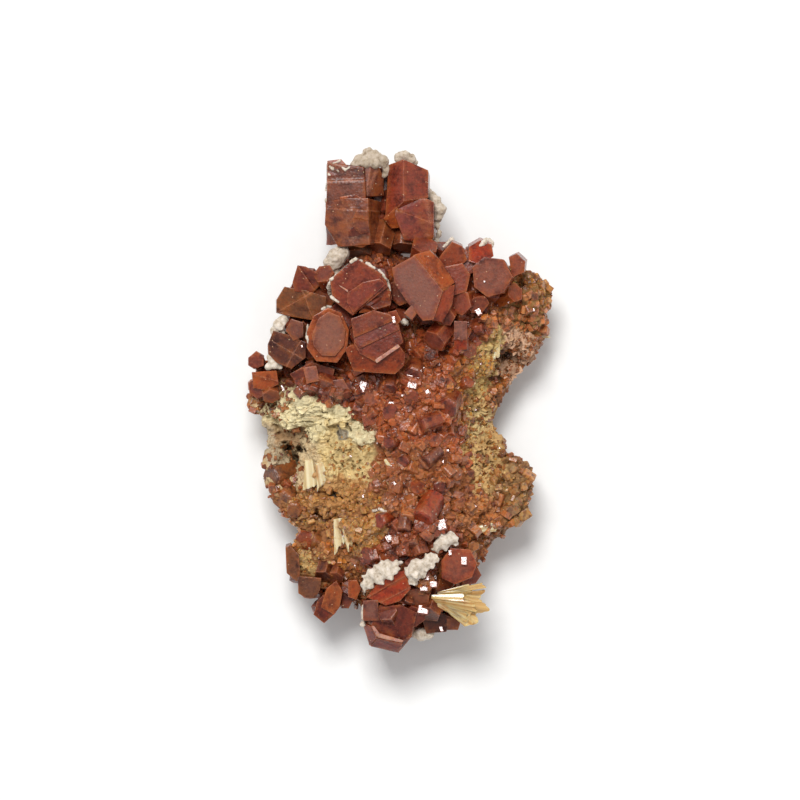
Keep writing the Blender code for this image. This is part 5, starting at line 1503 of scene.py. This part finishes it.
def make_blade(blade, chance):
    """A thin plate with a ragged outer end, streaked along its length."""
    bpy.ops.mesh.primitive_cube_add(size=1)
    obj = bpy.context.object
    mesh = obj.data
    mesh.transform(Matrix.Translation((0.5, 0, 0)))
    mesh.transform(Matrix.Diagonal((blade.long * MM, blade.wide * MM, blade.thick * MM, 1)))
    for vertex in mesh.vertices:
        if vertex.co.x < blade.long * MM / 2:
            vertex.co.y *= 0.45
        elif vertex.co.y > 0:
            vertex.co.x -= blade.wide * MM * chance.uniform(0.3, 0.9)
    bpy.ops.object.mode_set(mode="EDIT")
    bpy.ops.mesh.select_all(action="SELECT")
    bpy.ops.mesh.bevel(offset=0.12 * blade.thick * MM, segments=1, affect="EDGES")
    subdivide_long(obj, BLADE_GRAIN)
    bpy.ops.object.mode_set(mode="OBJECT")
    points = places_of(mesh)
    paint_points(mesh, streak=points[:, 1] / MM + chance.uniform(0, 50))
    seed = chance.uniform(0, 90)
    for vertex in mesh.vertices:
        across = vertex.co.y / MM
        ridge = noise.noise(Vector((across * 1.6, seed, 0)))
        vertex.co.z += ridge * 0.14 * MM
        ragged = max(vertex.co.x / (blade.long * MM) - 0.55, 0)
        vertex.co.x += noise.noise(Vector((across * 2.2, seed, 5))) * ragged * 1.8 * MM
    place = Matrix.Translation(Vector((blade.x, blade.y, blade.z)) * MM)
    place @= Matrix.Rotation(math.radians(blade.turn), 4, "Z")
    place @= Matrix.Rotation(math.radians(-blade.rise), 4, "Y")
    place @= Matrix.Rotation(math.radians(blade.roll), 4, "X")
    mesh.transform(place)
    return obj


def make_sheet(sheet):
    """A fan of barite grown as one sheet: ridged along its rays, with a ragged outer edge."""
    bpy.ops.mesh.primitive_grid_add(x_subdivisions=26, y_subdivisions=90, size=1)
    obj = bpy.context.object
    streaks = []
    for vertex in obj.data.vertices:
        out, round_ = vertex.co.x + 0.5, vertex.co.y + 0.5
        angle = sheet.first + (sheet.last - sheet.first) * round_
        ray = noise.noise(Vector((angle * 0.12, sheet.seed, 0)))
        fine = noise.noise(Vector((angle * 0.4, sheet.seed, 7)))
        reach = sheet.long * (1 + 0.16 * ray + 0.06 * fine)
        for spike_angle, spike_rise, spike_wide in sheet.spikes:
            reach += spike_rise * max(0, 1 - abs(angle - spike_angle) / spike_wide)
        far = 0.6 + (reach - 0.6) * out
        bend = math.radians(angle + 3 * noise.noise(Vector((far * 0.3, sheet.seed, 3))))
        ridge = (0.5 * ray + 0.07 * fine) * out
        z = sheet.z + math.tan(math.radians(sheet.rise)) * far - sheet.droop * out * out + ridge
        vertex.co = Vector((sheet.x + far * math.cos(bend), sheet.y + far * math.sin(bend), z)) * MM
        streaks.append(angle * 0.1 + sheet.seed)
    paint_points(obj.data, streak=np.array(streaks))
    solid = obj.modifiers.new("Solidify", "SOLIDIFY")
    solid.thickness = sheet.thick * MM
    solid.offset = 0
    apply_all(obj)
    return obj


def make_blades(name, made, material, nodes=()):
    obj = join(made)
    bpy.ops.object.shade_smooth_by_angle(angle=math.radians(30))
    return finish_piece(obj, name, material, nodes)


def laid(blades, surface):
    """The blades with each root lowered or raised onto the surface."""
    made = []
    for blade in blades:
        way = Vector((math.cos(math.radians(blade.turn)), math.sin(math.radians(blade.turn))))
        middle = Vector((blade.x, blade.y)) + way * blade.long / 2
        found = below(surface, middle.x, middle.y)
        made.append(blade if found is None else blade._replace(z=found[0].z / MM + 0.1))
    return made


# ---------------------------------------------------------------- stage
FLOOR_SIZE = 6.0
CAMERA_HEIGHT = 1.2
VIEW_WIDTH = 0.128
VIEW_PLANE = 0.015  # height at which the picture is that wide
VIEW_MIDDLE = 0.00024
KEY_POWER = 6.4
KEY_SIZE = 0.30
WORLD_LIGHT = 0.62


def make_stage():
    bpy.ops.mesh.primitive_plane_add(size=FLOOR_SIZE)
    floor = bpy.context.object
    floor.name = "floor"
    floor.data.materials.append(floor_paint())
    camera = bpy.data.objects.new("Camera", bpy.data.cameras.new("Camera"))
    bpy.context.scene.collection.objects.link(camera)
    camera.location = (0, VIEW_MIDDLE, CAMERA_HEIGHT)
    camera.data.lens = camera.data.sensor_width * (CAMERA_HEIGHT - VIEW_PLANE) / VIEW_WIDTH
    camera.data.clip_end = 10
    bpy.context.scene.camera = camera
    key = bpy.data.objects.new("Softbox", bpy.data.lights.new("Softbox", "AREA"))
    bpy.context.scene.collection.objects.link(key)
    key.data.energy = KEY_POWER
    key.data.size = KEY_SIZE
    key.location = KEY_FROM
    key.rotation_euler = KEY_FROM.to_track_quat("Z", "Y").to_euler()
    world = bpy.data.worlds.new("Studio")
    bpy.context.scene.world = world
    world.use_nodes = True
    background = world.node_tree.nodes["Background"]
    background.inputs["Color"].default_value = linear("#f4f4f6")
    background.inputs["Strength"].default_value = WORLD_LIGHT
    bpy.context.scene.view_settings.view_transform = "Standard"


# ---------------------------------------------------------------- the specimen
def main():
    deselect_all()
    skin = vanadinite("Vanadinite, large crystals", 0.24, 0.4)
    striated = vanadinite("Vanadinite, striated crystals", 0.3, 0.4, 0.6)
    drusy = vanadinite("Vanadinite, drusy crust", 0.4, 0.75)
    clusters = []
    for name, settings in CLUSTERS.items():
        clusters.append(make_cluster(name, *settings, striated if name == "crown" else skin))
    rock_piece = make_rock(rock())
    bed = make_druse_bed(drusy)
    make_small_crystals(bed, rock_piece, clusters, drusy)
    chalk = white_crust()
    for name, rows in CRUSTS.items():
        make_crust(name, rows, chalk)
    surface = surface_of(rock_piece, bed, *clusters)
    make_seams(surface, chalk)
    chance = random.Random("blades")
    fan = [make_sheet(sheet) for sheet in SHEETS] + [make_blade(blade, chance) for blade in FAN]
    honeyed = barite("Barite, honey blades", "#b08446", "#c49f62", "#d3b982")
    make_blades("barite_fan", fan, honeyed, ["barite_blades"])
    slivers = [make_blade(blade, chance) for blade in laid(SLIVERS, surface)]
    make_blades("barite_slivers", slivers, barite("Barite, cream slivers", "#b89a66", "#d2bc8e", "#e2d4ae"))
    make_stage()


main()
